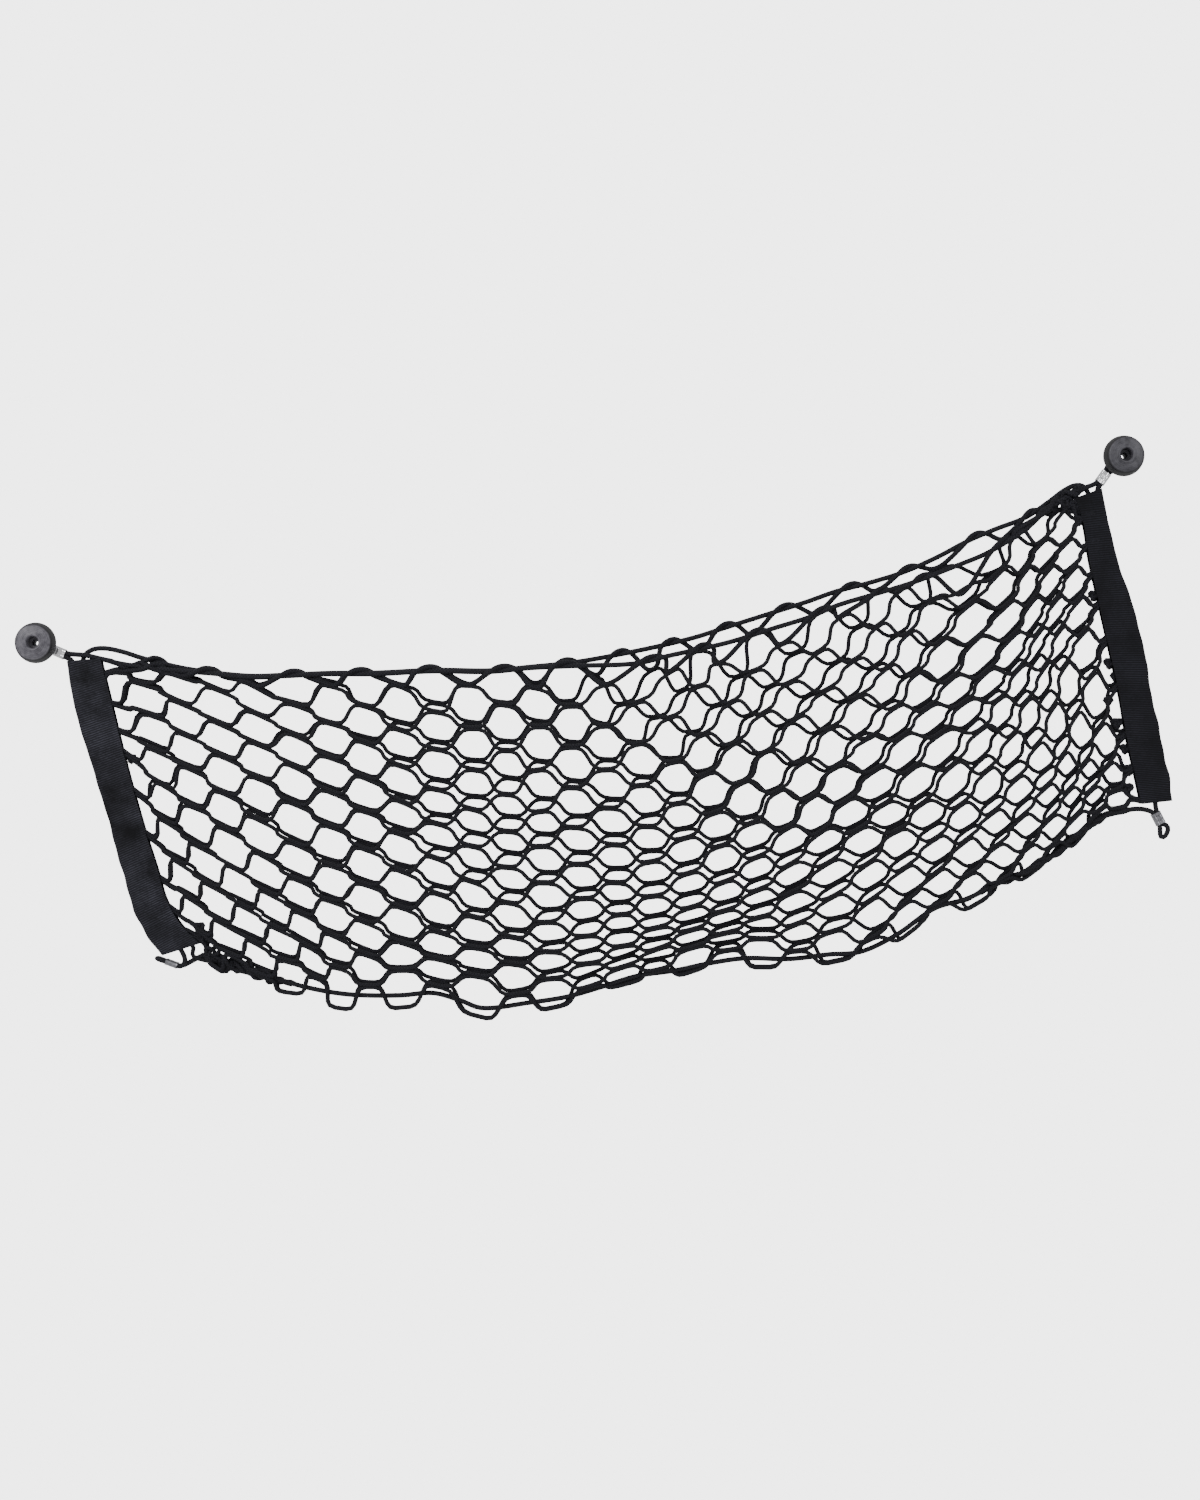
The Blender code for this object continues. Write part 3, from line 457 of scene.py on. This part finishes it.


# Both knobs are the same plastic: the left one's colours are painted lighter and the right one's
# darker, as painted light falling from the left.
for name, x, z, base, light in (("left", 0.0, 0.0, "#48464d", "#747279"),
                                ("right", SPAN, RISE, "#333238", "#55545a")):
    plastic = moulded("moulded_grey_plastic_" + name, x, z, base, light)
    knob = skin("knob_moulded_" + name, [turned(x, z)], plastic, True, 50)
    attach(knob, "root")
    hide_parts("knob_" + name)

# ==== End bands ===============================================================================
# Black ribbed elastic webbing, folded lengthwise round the edge cord and the net's end, and sewn
# through near its open inner edge. The weave's ribs cross it at a slant.
WEB_THICK = 1.3
BAND_OUTER, BAND_INNER = 6.7, 9.6      # a band's thickness at its fold and at its open edge
BAND_LONG = 300.0                      # the run of its waves and ribs, a little over its length
RIB, RIB_HIGH = 2.2, 0.16      # pitch and height of the ribs, drawn a little coarser than real
SEWN_IN, SEAM_SUNK = 4.5, 0.5          # the seam from the open edge, and how deep it pulls


def band_rows(rows, count):
    """A band's edges at count even steps down: a smooth curve through its sections."""
    outer = smooth(rows[:, (0, 4, 1)], 0.5)
    inner = smooth(rows[:, (2, 4, 3)], 0.5)
    pick = np.linspace(0, 1, count)
    return [np.stack([np.interp(pick, np.linspace(0, 1, len(e)), e[:, k]) for k in range(3)], 1)
            for e in (outer, inner)]


def webbing(rows, seed, count=720, arc=9, flat=14):
    """The hairpin section at each step down: from the open edge along one face, round the fold
    and back, then the same inside. The faces wave slightly by a few slow sine waves across and
    down, and the ribs are a fast one along a slanted line. Also each point's place on a rib."""
    outer, inner = band_rows(rows, count)
    down = np.linspace(0, BAND_LONG, count)[:, None]
    sway = 0.45 * np.sin(down / 9 + seed) + 0.35 * np.sin(down / 4.1) + 0.3 * np.sin(down / 17)
    outer = outer + unit(inner - outer) * sway * (0.25 + 1.2 * (down / BAND_LONG) ** 2)
    wide = np.linalg.norm(inner - outer, axis=1)[:, None]
    bend = np.pi / 2 + np.linspace(0, np.pi, arc + 1)
    run = np.linspace(0, 1, flat, endpoint=False)

    def ply(half, gape):
        """How far inward and how deep one ply's points lie, from its front open edge round the
        fold to its back one: half its thickness grows evenly from half at the fold to gape."""
        centre = BAND_OUTER / 2
        inward = np.concatenate((wide + (centre - wide) * run,
                                 centre + half * np.cos(bend) + 0 * wide,
                                 centre + (wide - centre) * (run + 1 / flat)), axis=1)
        opened = np.clip((inward - centre) / (wide - centre), 0, 1)
        return inward, out * (half + (gape - half) * opened)

    out = np.concatenate((np.full(flat, -1.0), -np.sin(bend), np.full(flat, 1.0)))
    s, depth = ply(BAND_OUTER / 2, BAND_INNER / 2)
    lining_s, lining_depth = ply(BAND_OUTER / 2 - WEB_THICK, BAND_INNER / 2 - WEB_THICK)
    rng = np.random.default_rng(seed)
    wave = sum(rng.uniform(0.10, 0.30) * np.sin(down / rng.uniform(8, 30) + s / rng.uniform(6, 16)
                                                + rng.uniform(0, 6)) for _ in range(5))
    ribs = RIB_HIGH * np.sin(math.tau * (down + 0.22 * s) / RIB)
    seam = SEAM_SUNK * np.exp(-((s - (wide - SEWN_IN)) / 0.9) ** 2)
    across = unit(inner - outer)[:, None]

    def place(inward, deep):
        points = outer[:, None] + across * inward[..., None]
        points[..., 1] += deep
        return points

    ring = np.concatenate((place(s, depth + out * (ribs + 0.5 * wave - seam)),
                           place(lining_s, lining_depth)[:, ::-1]), axis=1)
    crown = np.concatenate((ribs, ribs[:, ::-1]), axis=1) / RIB_HIGH
    return ring, down[:, 0], crown


def ribbed(name, light):
    """Ribbed elastic webbing of black polyester: dull, with a thin painted highlight on the ribs'
    crowns, in patches 25 mm wide where the nap is rubbed. The nap has 0.42 spots to the millimetre."""
    mat, shader = finish(name, Roughness=0.8, Specular_IOR_Level=0.18, Sheen_Weight=0.04,
                         Sheen_Roughness=0.5)
    place = add(mat, "TexCoord", {}).outputs["Object"]
    stretch = add(mat, "Mapping", {"Vector": place, "Scale": (1.0, 1.0, 6.0)})
    fuzz = add(mat, "TexNoise", {"Vector": stretch.outputs[0], "Scale": 0.42 / MM, "Detail": 4.0})
    patch = add(mat, "TexNoise", {"Vector": place, "Scale": 0.04 / MM, "Detail": 2.0})
    crown = add(mat, "Attribute", {}, attribute_name="rib")
    lit = add(mat, "Math", {0: fuzz.outputs["Fac"], 1: patch.outputs["Fac"]},
              operation="MULTIPLY")
    lift = add(mat, "MapRange", {"Value": lit.outputs[0], "From Min": 0.12, "From Max": 0.40})
    # Painted highlight: the ribs' crowns are mixed towards the light colour.
    painted_rib_highlight = add(mat, "MapRange", {"Value": crown.outputs["Fac"], "From Min": -0.6,
                                  "To Min": 0.1})
    both = add(mat, "Math", {0: lift.outputs[0], 1: painted_rib_highlight.outputs[0]}, operation="MULTIPLY")
    tint = add(mat, "Mix", {"Factor": both.outputs[0], 6: colour("#0c0c10"), 7: colour(light)},
               data_type="RGBA")
    nap = add(mat, "Bump", {"Height": fuzz.outputs["Fac"], "Strength": 0.5,
                            "Distance": 0.15 * MM})
    mat.node_tree.links.new(tint.outputs[2], shader.inputs["Base Color"])
    mat.node_tree.links.new(nap.outputs[0], shader.inputs["Normal"])
    return mat


# The left band is painted a little greyer than the right one, as painted light falling from
# the left.
for name, rows, seed, light in (("left", BAND_LEFT, 3, "#4b4b56"),
                                ("right", BAND_RIGHT, 5, "#2a2a33")):
    web = ribbed("ribbed_black_webbing_" + name, light)
    ring, along, crown = webbing(rows, seed)
    band = skin("band_webbing_" + name, [(ring, along)], web, False, 70)
    ribs = band.data.attributes.new("rib", "FLOAT", "POINT")
    ribs.data.foreach_set("value", crown.ravel())
    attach(band, "root")
    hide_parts("band_" + name)

# ==== Netting =================================================================================
# Knotless netting of covered elastic strands. Each strand runs in waves from band to band and
# lies fused beside its neighbour above and below by turns, and the two outermost, thicker
# strands ride over the top cords. The sheet is folded along the bottom cord.
STRAND_D, SELVEDGE_D = 3.8, 4.6   # drawn fuller than the real 2.5 to 3, as the cords are
WAVES, ROWS = 16, 37           # waves along a strand, rows of joints from front top to back top
FOLD = ROWS // 2               # the row of joints under the bottom cord
BAR_LONG, JOINT_LONG = 24.0, 9.5  # a taut bar from joint to joint, and the longest joint
FUSED = 0.95                   # half the distance between two strands in a joint
OFF_WALL = 0.3                 # how near to the wall a strand may come
# The front layer's joints as (x, z) at rows 1, 5, 9, 13 and 17, one line for each wave from 0.
NET_FRONT = np.array([
    [(64, -42), (79, -98), (96, -161), (111, -213), (143, -268)],
    [(93, -37), (109, -96), (118, -162), (138, -230), (162, -291)],
    [(163, -42), (169, -103), (172, -168), (189, -237), (205, -299)],
    [(233, -56), (233, -112), (235, -180), (240, -244), (253, -302)],
    [(297, -58), (298, -122), (299, -184), (298, -250), (300, -308)],
    [(361, -61), (363, -131), (361, -193), (364, -257), (363, -308)],
    [(422, -57), (424, -135), (424, -200), (429, -264), (433, -315)],
    [(483, -56), (482, -131), (489, -198), (494, -262), (498, -308)],
    [(540, -54), (545, -129), (552, -197), (558, -254), (559, -291)],
    [(597, -41), (601, -118), (616, -183), (619, -241), (622, -275)],
    [(646, -26), (657, -98), (673, -167), (681, -226), (683, -276)],
    [(703, -8), (715, -77), (727, -143), (747, -197), (748, -268)],
    [(756, 15), (773, -57), (785, -114), (806, -174), (809, -236)],
    [(806, 38), (820, -32), (848, -77), (858, -151), (865, -213)],
    [(867, 66), (879, 5), (891, -53), (909, -130), (915, -184)],
    [(906, 92), (918, 40), (927, -21), (942, -109), (955, -150)],
    [(943, 114), (952, 64), (964, 3), (980, -83), (991, -141)]], float)
# Where pairs of strands come out of the left band, at rows 0, 2 ... 18.
ENTRY_LEFT = np.array([
    (60, -28), (67, -54), (75, -79), (85, -103), (93, -137), (102, -174), (113, -213),
    (123, -240), (145, -265), (152, -280)], float)
# How far the back layer's joints lie from the front's, at the same rows.
LAYERS_APART = np.array([
    [(0, 0), (0, 0), (0, 0), (0, 0), (0, 0)], [(0, 1), (-2, 3), (-2, 3), (0, 1), (0, 0)],
    [(0, 1), (-1, 2), (-1, 2), (0, 2), (0, 2)], [(0, 2), (-1, 2), (-1, 2), (-1, 2), (0, 2)],
    [(0, 3), (-1, 3), (-1, 2), (-1, 3), (0, 2)], [(0, 6), (0, 8), (4, 7), (0, 3), (0, 3)],
    [(-1, 3), (3, 12), (4, 10), (2, 7), (0, 3)], [(-5, 2), (6, 6), (3, 10), (3, 12), (-2, 7)],
    [(-13, 0), (3, 7), (1, 11), (-1, 10), (0, 5)], [(-16, -3), (1, 2), (0, 6), (2, 8), (0, 5)],
    [(-13, -4), (-4, 0), (-1, 2), (1, 10), (4, 8)], [(-18, -2), (-9, -4), (-1, 2), (4, 10), (11, 12)],
    [(-13, -1), (-9, 3), (-2, 2), (1, 8), (12, 9)], [(-8, -2), (-2, 1), (-5, 5), (1, 12), (14, 12)],
    [(-3, -1), (-2, 2), (-6, 7), (-1, 16), (7, 10)], [(-1, -1), (-3, 2), (-7, 7), (5, 16), (3, 6)],
    [(0, 0), (0, 0), (0, 2), (0, 4), (0, 0)]], float)
# Where the two selvedge strands ride over the cords, as x along the front and the back cord.
CREST_FRONT = [58, 108, 155, 231, 292, 354, 420, 477, 553, 599, 647, 705, 759, 797, 870, 918, 940]
CREST_BACK = [58, 108, 155, 231, 292, 354, 420, 477, 526, 572, 621, 674, 734, 785, 846, 895, 928]
# Between two crests, the selvedge's lowest place as (x, z), front and back, and how far the
# fold's joint hangs below the bottom cord.
BETWEEN = np.array([
    (75, -26, 75, -24, 3), (129, -29, 129, -27, 5), (195, -38, 195, -36, 8),
    (267, -38, 267, -36, 13), (329, -39, 329, -37, 8), (387, -38, 387, -36, 8),
    (450, -41, 448, -37, 6), (514, -38, 502, -30, 5), (570, -26, 555, -23, 4),
    (612, -19, 595, -6, 6), (671, 0, 647, 10, 5), (724, 23, 705, 28, 6), (774, 46, 759, 48, 7),
    (831, 46, 813, 68, 6), (883, 98, 872, 93, 5), (926, 122, 917, 118, -4)], float)
# How much the joints lean with the taut strands at each half wave: up is more than 0.
LEAN = np.interp(np.arange(2 * WAVES + 1) / 2, (0, 4, 6, 8, 11, 16),
                 (-0.9, -0.9, -0.4, 0.1, 0.8, 1.1))
# How much longer than its chord a bar is that lies straight across its joints, by half waves.
SLACK = np.interp(np.arange(2 * WAVES), (0, 4, 8, 12, 24, 32),
                  (6.5, 6.0, 3.0, 1.8, 2.5, 4.0))[:, None]
# How far the front layer swells out, and half the layers' distance at the fold and in a band.
BELLY, FOLD_R, END_GAP = 5.0, 4.2, 1.7
NET_END_Y = -7.7               # depth of the net's middle in the bands


def cubic(values, at):
    """A uniform Catmull-Rom curve through the values along their first axis, read at the
    fractional places: half of 2 p1 + (p2 - p0) t + (2 p0 - 5 p1 + 4 p2 - p3) t squared
    + (3 p1 - p0 - 3 p2 + p3) t cubed."""
    v = np.concatenate((2 * values[:1] - values[1:2], values, 2 * values[-1:] - values[-2:-1]))
    i = np.clip(np.floor(at).astype(int), 0, len(v) - 4)
    t = (at - i).reshape(-1, *[1] * (v.ndim - 1))
    p0, p1, p2, p3 = v[i], v[i + 1], v[i + 2], v[i + 3]
    return (2 * p1 + (p2 - p0) * t + (2 * p0 - 5 * p1 + 4 * p2 - p3) * t ** 2
            + (3 * p1 - p0 - 3 * p2 + p3) * t ** 3) / 2


def on_cord(line, x):
    """A cord's points at the places x, for a cord that runs from left to right."""
    line = line[np.argsort(line[:, 0])]
    return np.stack((x, np.interp(x, line[:, 0], line[:, 1]), np.interp(x, line[:, 0], line[:, 2])),
                    axis=-1)


front_top, back_top = smooth(TOP_FRONT, 2.0), smooth(TOP_BACK[4:-4], 2.0)
bottom = smooth(BOTTOM, 2.0)


def layer(table, between, top, sign):
    """One layer's joints above the fold, row by half wave: x and z from the table. Its depth is
    a straight blend from the top cord's to the fold's, the front one's bellied by a sine, and
    it is drawn to the bands' middle at both ends."""
    down = np.arange(FOLD)
    u = np.arange(2 * WAVES + 1) / 2
    grid = cubic(table.swapaxes(0, 1), (down - 1) / 4)
    flat = cubic(grid.swapaxes(0, 1), u).swapaxes(0, 1)
    flat[0, 1::2] = between
    entry = np.stack([np.interp(down, 2 * down[:10], ENTRY_LEFT[:, k]) for k in (0, 1)], axis=1)
    flat[1:, 1] = entry[1:]
    flat[:, 0] = entry + (-15, 5)
    x, z = flat[..., 0], flat[..., 1]
    deep = ((down + 1) / (FOLD + 1))[:, None]
    y = (1 - deep) * on_cord(top, x)[..., 1] + deep * (on_cord(bottom, x)[..., 1] + sign * FOLD_R)
    if sign < 0:
        y = y - BELLY * np.sin(np.pi * u / WAVES) * np.sin(np.pi * deep)
    ends = np.clip(1.5 - np.minimum(u, WAVES + 0.4 - u), 0, 1)
    y = y * (1 - ends) + (NET_END_Y + sign * END_GAP) * ends
    return np.stack((x, y, z), axis=-1)


front = layer(NET_FRONT, BETWEEN[:, 0:2], front_top, -1)
back = layer(NET_FRONT + LAYERS_APART, BETWEEN[:, 2:4], back_top, 1)
fold = (front[-1:] + back[-1:]) / 2
fold[0] = on_cord(bottom, fold[0, :, 0])
fold[0, 1::2, 2] -= BETWEEN[:, 4]
middle = np.concatenate((front, fold, back[::-1]))
half = np.arange(2 * WAVES + 1)
down_way = unit(np.gradient(middle, axis=0))
toward = unit(np.gradient(middle, axis=1))
apart = np.linalg.norm(np.gradient(middle, axis=1), axis=-1, keepdims=True)
lean = np.stack((np.ones(len(LEAN)), 0 * LEAN, LEAN), axis=-1) * np.abs(LEAN)[:, None]
lean = np.repeat(lean[None], ROWS, axis=0)
# Beside the fold the joints lie along the bottom cord, and the fold's own are longer.
along = unit(on_cord(bottom, fold[0, :, 0] + 5) - on_cord(bottom, fold[0, :, 0] - 5))
lean[FOLD - 2:FOLD + 3] = np.array((0.7, 1.5, 2.5, 1.5, 0.7))[:, None, None] * along
joint = np.clip(0.28 * apart, 3.6, JOINT_LONG)
joint[FOLD] *= 1.5
# No two cells are alike: each joint is shifted a little, less so beside the bands and where the
# joints are crowded.
rng = np.random.default_rng(11)
loose = np.minimum(np.minimum(half, 2 * WAVES - half), 2)[None, :, None] / 2
shift = rng.normal(0, 1, middle.shape) * np.array((1.2, 0.4, 1.0))
middle = middle + loose * np.clip(apart / 30, 0.15, 1) * shift
for _ in range(14):
    # A joint turns to the pull of its bars: each bar's chord counts by how near it is to taut.
    left, right = middle - toward * joint / 2, middle + toward * joint / 2
    pull = np.zeros_like(middle)
    for dr in (-1, 1):
        ahead = np.roll(np.roll(left, -dr, axis=0), -1, axis=1) - right
        behind = left - np.roll(np.roll(right, -dr, axis=0), 1, axis=1)
        for chord, edge_col in ((ahead, -1), (behind, 0)):
            long = np.linalg.norm(chord, axis=-1, keepdims=True)
            weight = (long / BAR_LONG) ** 4
            weight[:, edge_col] = 0
            weight[-1 if dr > 0 else 0] = 0
            pull += weight * chord / np.maximum(long, 1e-6)
    toward = unit(0.6 * toward + 0.4 * unit(unit(pull + 1e-6) + 0.6 * lean))
down_way = unit(down_way - toward * np.sum(down_way * toward, axis=-1, keepdims=True))
left, right = middle - toward * joint / 2, middle + toward * joint / 2


def bar(a, b, ta, tb, samples=6):
    """A slack bar from a to b, leaving along ta and arriving along tb: a cubic Bezier curve
    whose two handles are as long as makes its length that of the bar, which is 1.03 chords and
    SLACK times the square of the sine of the angle between the chord and the joints."""
    chord = np.linalg.norm(b - a, axis=-1, keepdims=True)
    along = np.sum(unit(b - a) * unit(ta + tb), axis=-1, keepdims=True)
    target = 1.03 * chord + SLACK * (1 - along ** 2)
    low, high = 0.16 * chord, np.full_like(chord, 40.0)
    t = np.linspace(0, 1, 17)[:, None, None]

    def curve(h, t):
        p1, p2 = a + ta * h, b - tb * h
        return ((1 - t) ** 3 * a + 3 * (1 - t) ** 2 * t * p1 + 3 * (1 - t) * t ** 2 * p2
                + t ** 3 * b)

    for _ in range(24):
        mid = (low + high) / 2
        long = np.linalg.norm(np.diff(curve(mid, t), axis=0), axis=-1).sum(0)[:, None]
        low, high = np.where(long < target, mid, low), np.where(long < target, high, mid)
    return curve(low, np.linspace(0, 1, samples + 1)[1:-1, None, None])


def strand(s):
    """Strand s from the left band to the right: its places in the joints of rows s - 1 and s by
    turns, with a bar from each to the next, and a last stub into the right band."""
    r = np.where((s + half) % 2 == 0, s - 1, s)
    offset = np.where(r == s, -FUSED, FUSED)[:, None] * down_way[r, half]
    a, b, t = left[r, half] + offset, right[r, half] + offset, toward[r, half]
    bars = bar(b[:-1], a[1:], t[:-1], t[1:])
    parts = np.concatenate((a[:-1, None], (a[:-1, None] + b[:-1, None]) / 2, b[:-1, None],
                            np.moveaxis(bars, 0, 1)), axis=1)
    return np.concatenate((parts.reshape(-1, 3), a[-1:], b[-1:], b[-1:] + (7, 0, 1)))


# A selvedge's way over a cord at four places, as (x, depth, z) from the cord's middle, and its
# ends in the bands.
ARCH = np.array([(0, -3.75, -1.6), (0, -2.2, 2.9), (0, 2.2, 2.9), (0, 3.75, -1.6)])
SELVEDGE_ENDS = np.array([(52, NET_END_Y, -30), (946, NET_END_Y, 116)])


def selvedge(cord, crests, r, sign):
    """A selvedge strand: in the joints of its row, and over the cord at each crest between them,
    drawn out along the cord by about a fifth of the way to the next crest."""
    odd = half[1::2]
    side = sign * FUSED * down_way[r, odd]
    low = np.stack((left[r, odd] + side, right[r, odd] + side), axis=1)
    reach = np.clip(0.21 * np.gradient(np.array(crests, float)), 4.5, 13.0)[:, None]
    x = np.array(crests, float)[:, None] + reach * np.array((-1, -0.35, 0.35, 1))
    arch = on_cord(cord, x) + ARCH
    route = [SELVEDGE_ENDS[:1]]
    for k in range(WAVES):
        route += [low[k], arch[k + 1] if k < WAVES - 1 else SELVEDGE_ENDS[1:]]
    line = smooth(np.concatenate(route), 2.6)
    line[:, 1] = np.minimum(line[:, 1], -SELVEDGE_D / 2 - OFF_WALL)
    return line


# At both ends of the pocket's mouth and of its fold, slack strands are bunched round the cords:
# the cord, from x to x, how far out, pitch in millimetres, and phase.
BUNCHES = (
    (bottom, 146, 226, 4.2, 31, 0.0), (bottom, 148, 222, 5.4, 37, 2.1),
    (bottom, 160, 236, 4.0, 27, 4.0), (bottom, 150, 196, 6.4, 43, 3.0),
    (bottom, 152, 214, 6.8, 29, 5.2), (bottom, 148, 230, 5.0, 52, 1.2),
    (front_top, 60, 132, 3.4, 34, 1.0), (front_top, 66, 118, 4.0, 40, 3.5),
    (front_top, 896, 940, 4.6, 30, 0.5), (front_top, 904, 942, 5.6, 26, 2.6),
    (front_top, 910, 942, 5.0, 44, 5.0), (front_top, 914, 943, 6.4, 21, 1.4),
    (front_top, 917, 943, 4.0, 17, 3.0), (front_top, 886, 936, 3.6, 36, 4.4),
    (bottom, 880, 986, 3.6, 38, 0.7), (bottom, 820, 960, 3.8, 46, 2.9),
    (bottom, 850, 984, 4.6, 52, 5.0), (bottom, 900, 988, 5.4, 47, 3.8))
# Knots that tie them off, and small ones where the strands are caught in the bands' edges, as
# x, depth, z and half the width.
KNOTS = (
    (152, -8.5, -265, 6.5), (158, -9.0, -279, 7.0), (170, -8.5, -290, 6.0), (188, -8.5, -291, 5.5),
    (210, -9.0, -300, 6.0), (146, -8.5, -256, 4.5), (939, -8.0, 111, 4.0), (945, -8.0, 86, 3.4),
    (952, -8.0, 43, 4.2), (961, -8.0, 0, 3.6), (966, -8.0, -18, 4.4), (971, -8.0, -30, 3.4),
    (965, -8.0, -52, 3.6), (973, -8.0, -72, 4.4), (980, -8.0, -95, 4.0), (984, -8.0, -114, 4.4),
    (982, -8.0, -131, 5.0), (930, -8.5, 128, 5.5), (936, -8.5, 124, 5.0), (73, -8.0, -80, 3.2),
    (85, -8.0, -104, 3.6), (104, -8.0, -175, 3.2))


def bunched(cord, x0, x1, out, pitch, phase):
    """A strand wound round a cord: out from it by the cosine and the sine of an angle that grows
    with x, at a distance that swells three times a turn and shrinks towards both ends."""
    x = np.linspace(x0, x1, 40)
    turn = math.tau * (x - x0) / pitch + phase
    ends = np.clip(4 * np.minimum(x - x0, x1 - x) / (x1 - x0), 0.3, 1)
    swell = out * (0.75 + 0.25 * np.sin(3 * turn + phase)) * ends
    line = on_cord(cord, x) + np.stack((0 * x, swell * np.cos(turn), swell * np.sin(turn)), axis=1)
    line[:, 1] = np.minimum(line[:, 1], -STRAND_D / 2 - OFF_WALL)
    return smooth(line, 2.6)


def knotted(x, y, z, size):
    """A trefoil knot seen from the front: sin t + 2 sin 2t across, -0.8 sin 3t deep and
    cos t - 2 cos 2t up, each times a third of the size."""
    t = np.linspace(0, math.tau, 48)
    knot = np.stack((np.sin(t) + 2 * np.sin(2 * t), -0.8 * np.sin(3 * t),
                     np.cos(t) - 2 * np.cos(2 * t)), axis=1)
    return smooth(knot * size / 3 + (x, y, z), 2.0)


# Elastic strand with a spun polyester cover: near black, dull, with a slow spiral of the cover
# whose crowns carry small painted glints.
strand_black = braid("spun_black_strand", "#111115", "#2a2a33", 2.6, 3, 0.7, 0.18)
tubes = [tube(selvedge(front_top, CREST_FRONT, 0, -1), SELVEDGE_D / 2, 10)]
tubes += [tube(strand(s), STRAND_D / 2, 8) for s in range(1, ROWS)]
tubes += [tube(selvedge(back_top, CREST_BACK, ROWS - 1, 1), SELVEDGE_D / 2, 10)]
tubes += [tube(bunched(*row), STRAND_D / 2, 8) for row in BUNCHES]
tubes += [tube(knotted(*row), STRAND_D / 2, 8) for row in KNOTS]
net = skin("netting_elastic", tubes, strand_black, False, 80)
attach(net, "root")
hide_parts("net")

# ==== Camera, floor and light =================================================================
# The camera looks straight at the wall from 1.9 m. The floor is plain and pale, and the light is
# that of a white studio, with one large soft lamp to the left and a smaller one to the right.
camera = bpy.data.objects.new("camera", bpy.data.cameras.new("camera"))
camera.data.lens = 50.0
camera.data.sensor_width = 36.0
camera.location = (0.50715, -1.885, -0.0963)
camera.rotation_euler = (math.radians(90), 0, 0)
bpy.context.scene.collection.objects.link(camera)
bpy.context.scene.camera = camera

FLOOR_R, FLOOR_Z = 1.6, -1.4           # metres; it lies just below the camera's view
ROOM_LIGHT, ROOM_SEEN = 0.6, 4.2       # the white room's strength as light, and as a backdrop
FLOOR_SEEN = 3.4                       # the floor's own glow to the camera
floor_mesh = bpy.data.meshes.new("floor")
a = np.linspace(0, math.tau, 64, endpoint=False)
rim = np.stack((0.5 + FLOOR_R * np.cos(a), FLOOR_R * np.sin(a), np.full(64, FLOOR_Z)), axis=1)
floor_mesh.from_pydata(rim, [], [list(range(64))])
floor = bpy.data.objects.new("floor", floor_mesh)
bpy.context.scene.collection.objects.link(floor)
pale, shader = finish("matt_white_paint", Roughness=0.9, Base_Color=colour("#f4f4f4"),
                      Emission_Color=colour("#ffffff"))
# To the camera the floor is as bright as the white room, so that it has no edge.
glow = add(pale, "MapRange", {"Value": add(pale, "LightPath", {}).outputs["Is Camera Ray"],
                              "To Max": FLOOR_SEEN})
pale.node_tree.links.new(glow.outputs[0], shader.inputs["Emission Strength"])
floor_mesh.materials.append(pale)

world = bpy.data.worlds.new("studio")
world.use_nodes = True
back_light = world.node_tree.nodes["Background"]
back_light.inputs["Color"].default_value = (1, 1, 1, 1)
ray = add(world, "LightPath", {})
level = add(world, "MapRange", {"Value": ray.outputs["Is Camera Ray"], "To Min": ROOM_LIGHT,
                                "To Max": ROOM_SEEN})
world.node_tree.links.new(level.outputs[0], back_light.inputs["Strength"])
bpy.context.scene.world = world
for name, place, size, power in (("key", (-0.9, -1.6, 1.1), 1.2, 30.0),
                                 ("fill", (1.9, -1.5, 0.6), 1.0, 10.0)):
    lamp = bpy.data.lights.new(name, "AREA")
    lamp.size = size
    lamp.energy = power
    light = bpy.data.objects.new(name, lamp)
    light.location = place
    aim = np.array((0.5, 0.0, -0.1)) - np.array(place)
    light.rotation_mode = "QUATERNION"
    light.rotation_quaternion = Vector(aim).to_track_quat("-Z", "Y")
    bpy.context.scene.collection.objects.link(light)
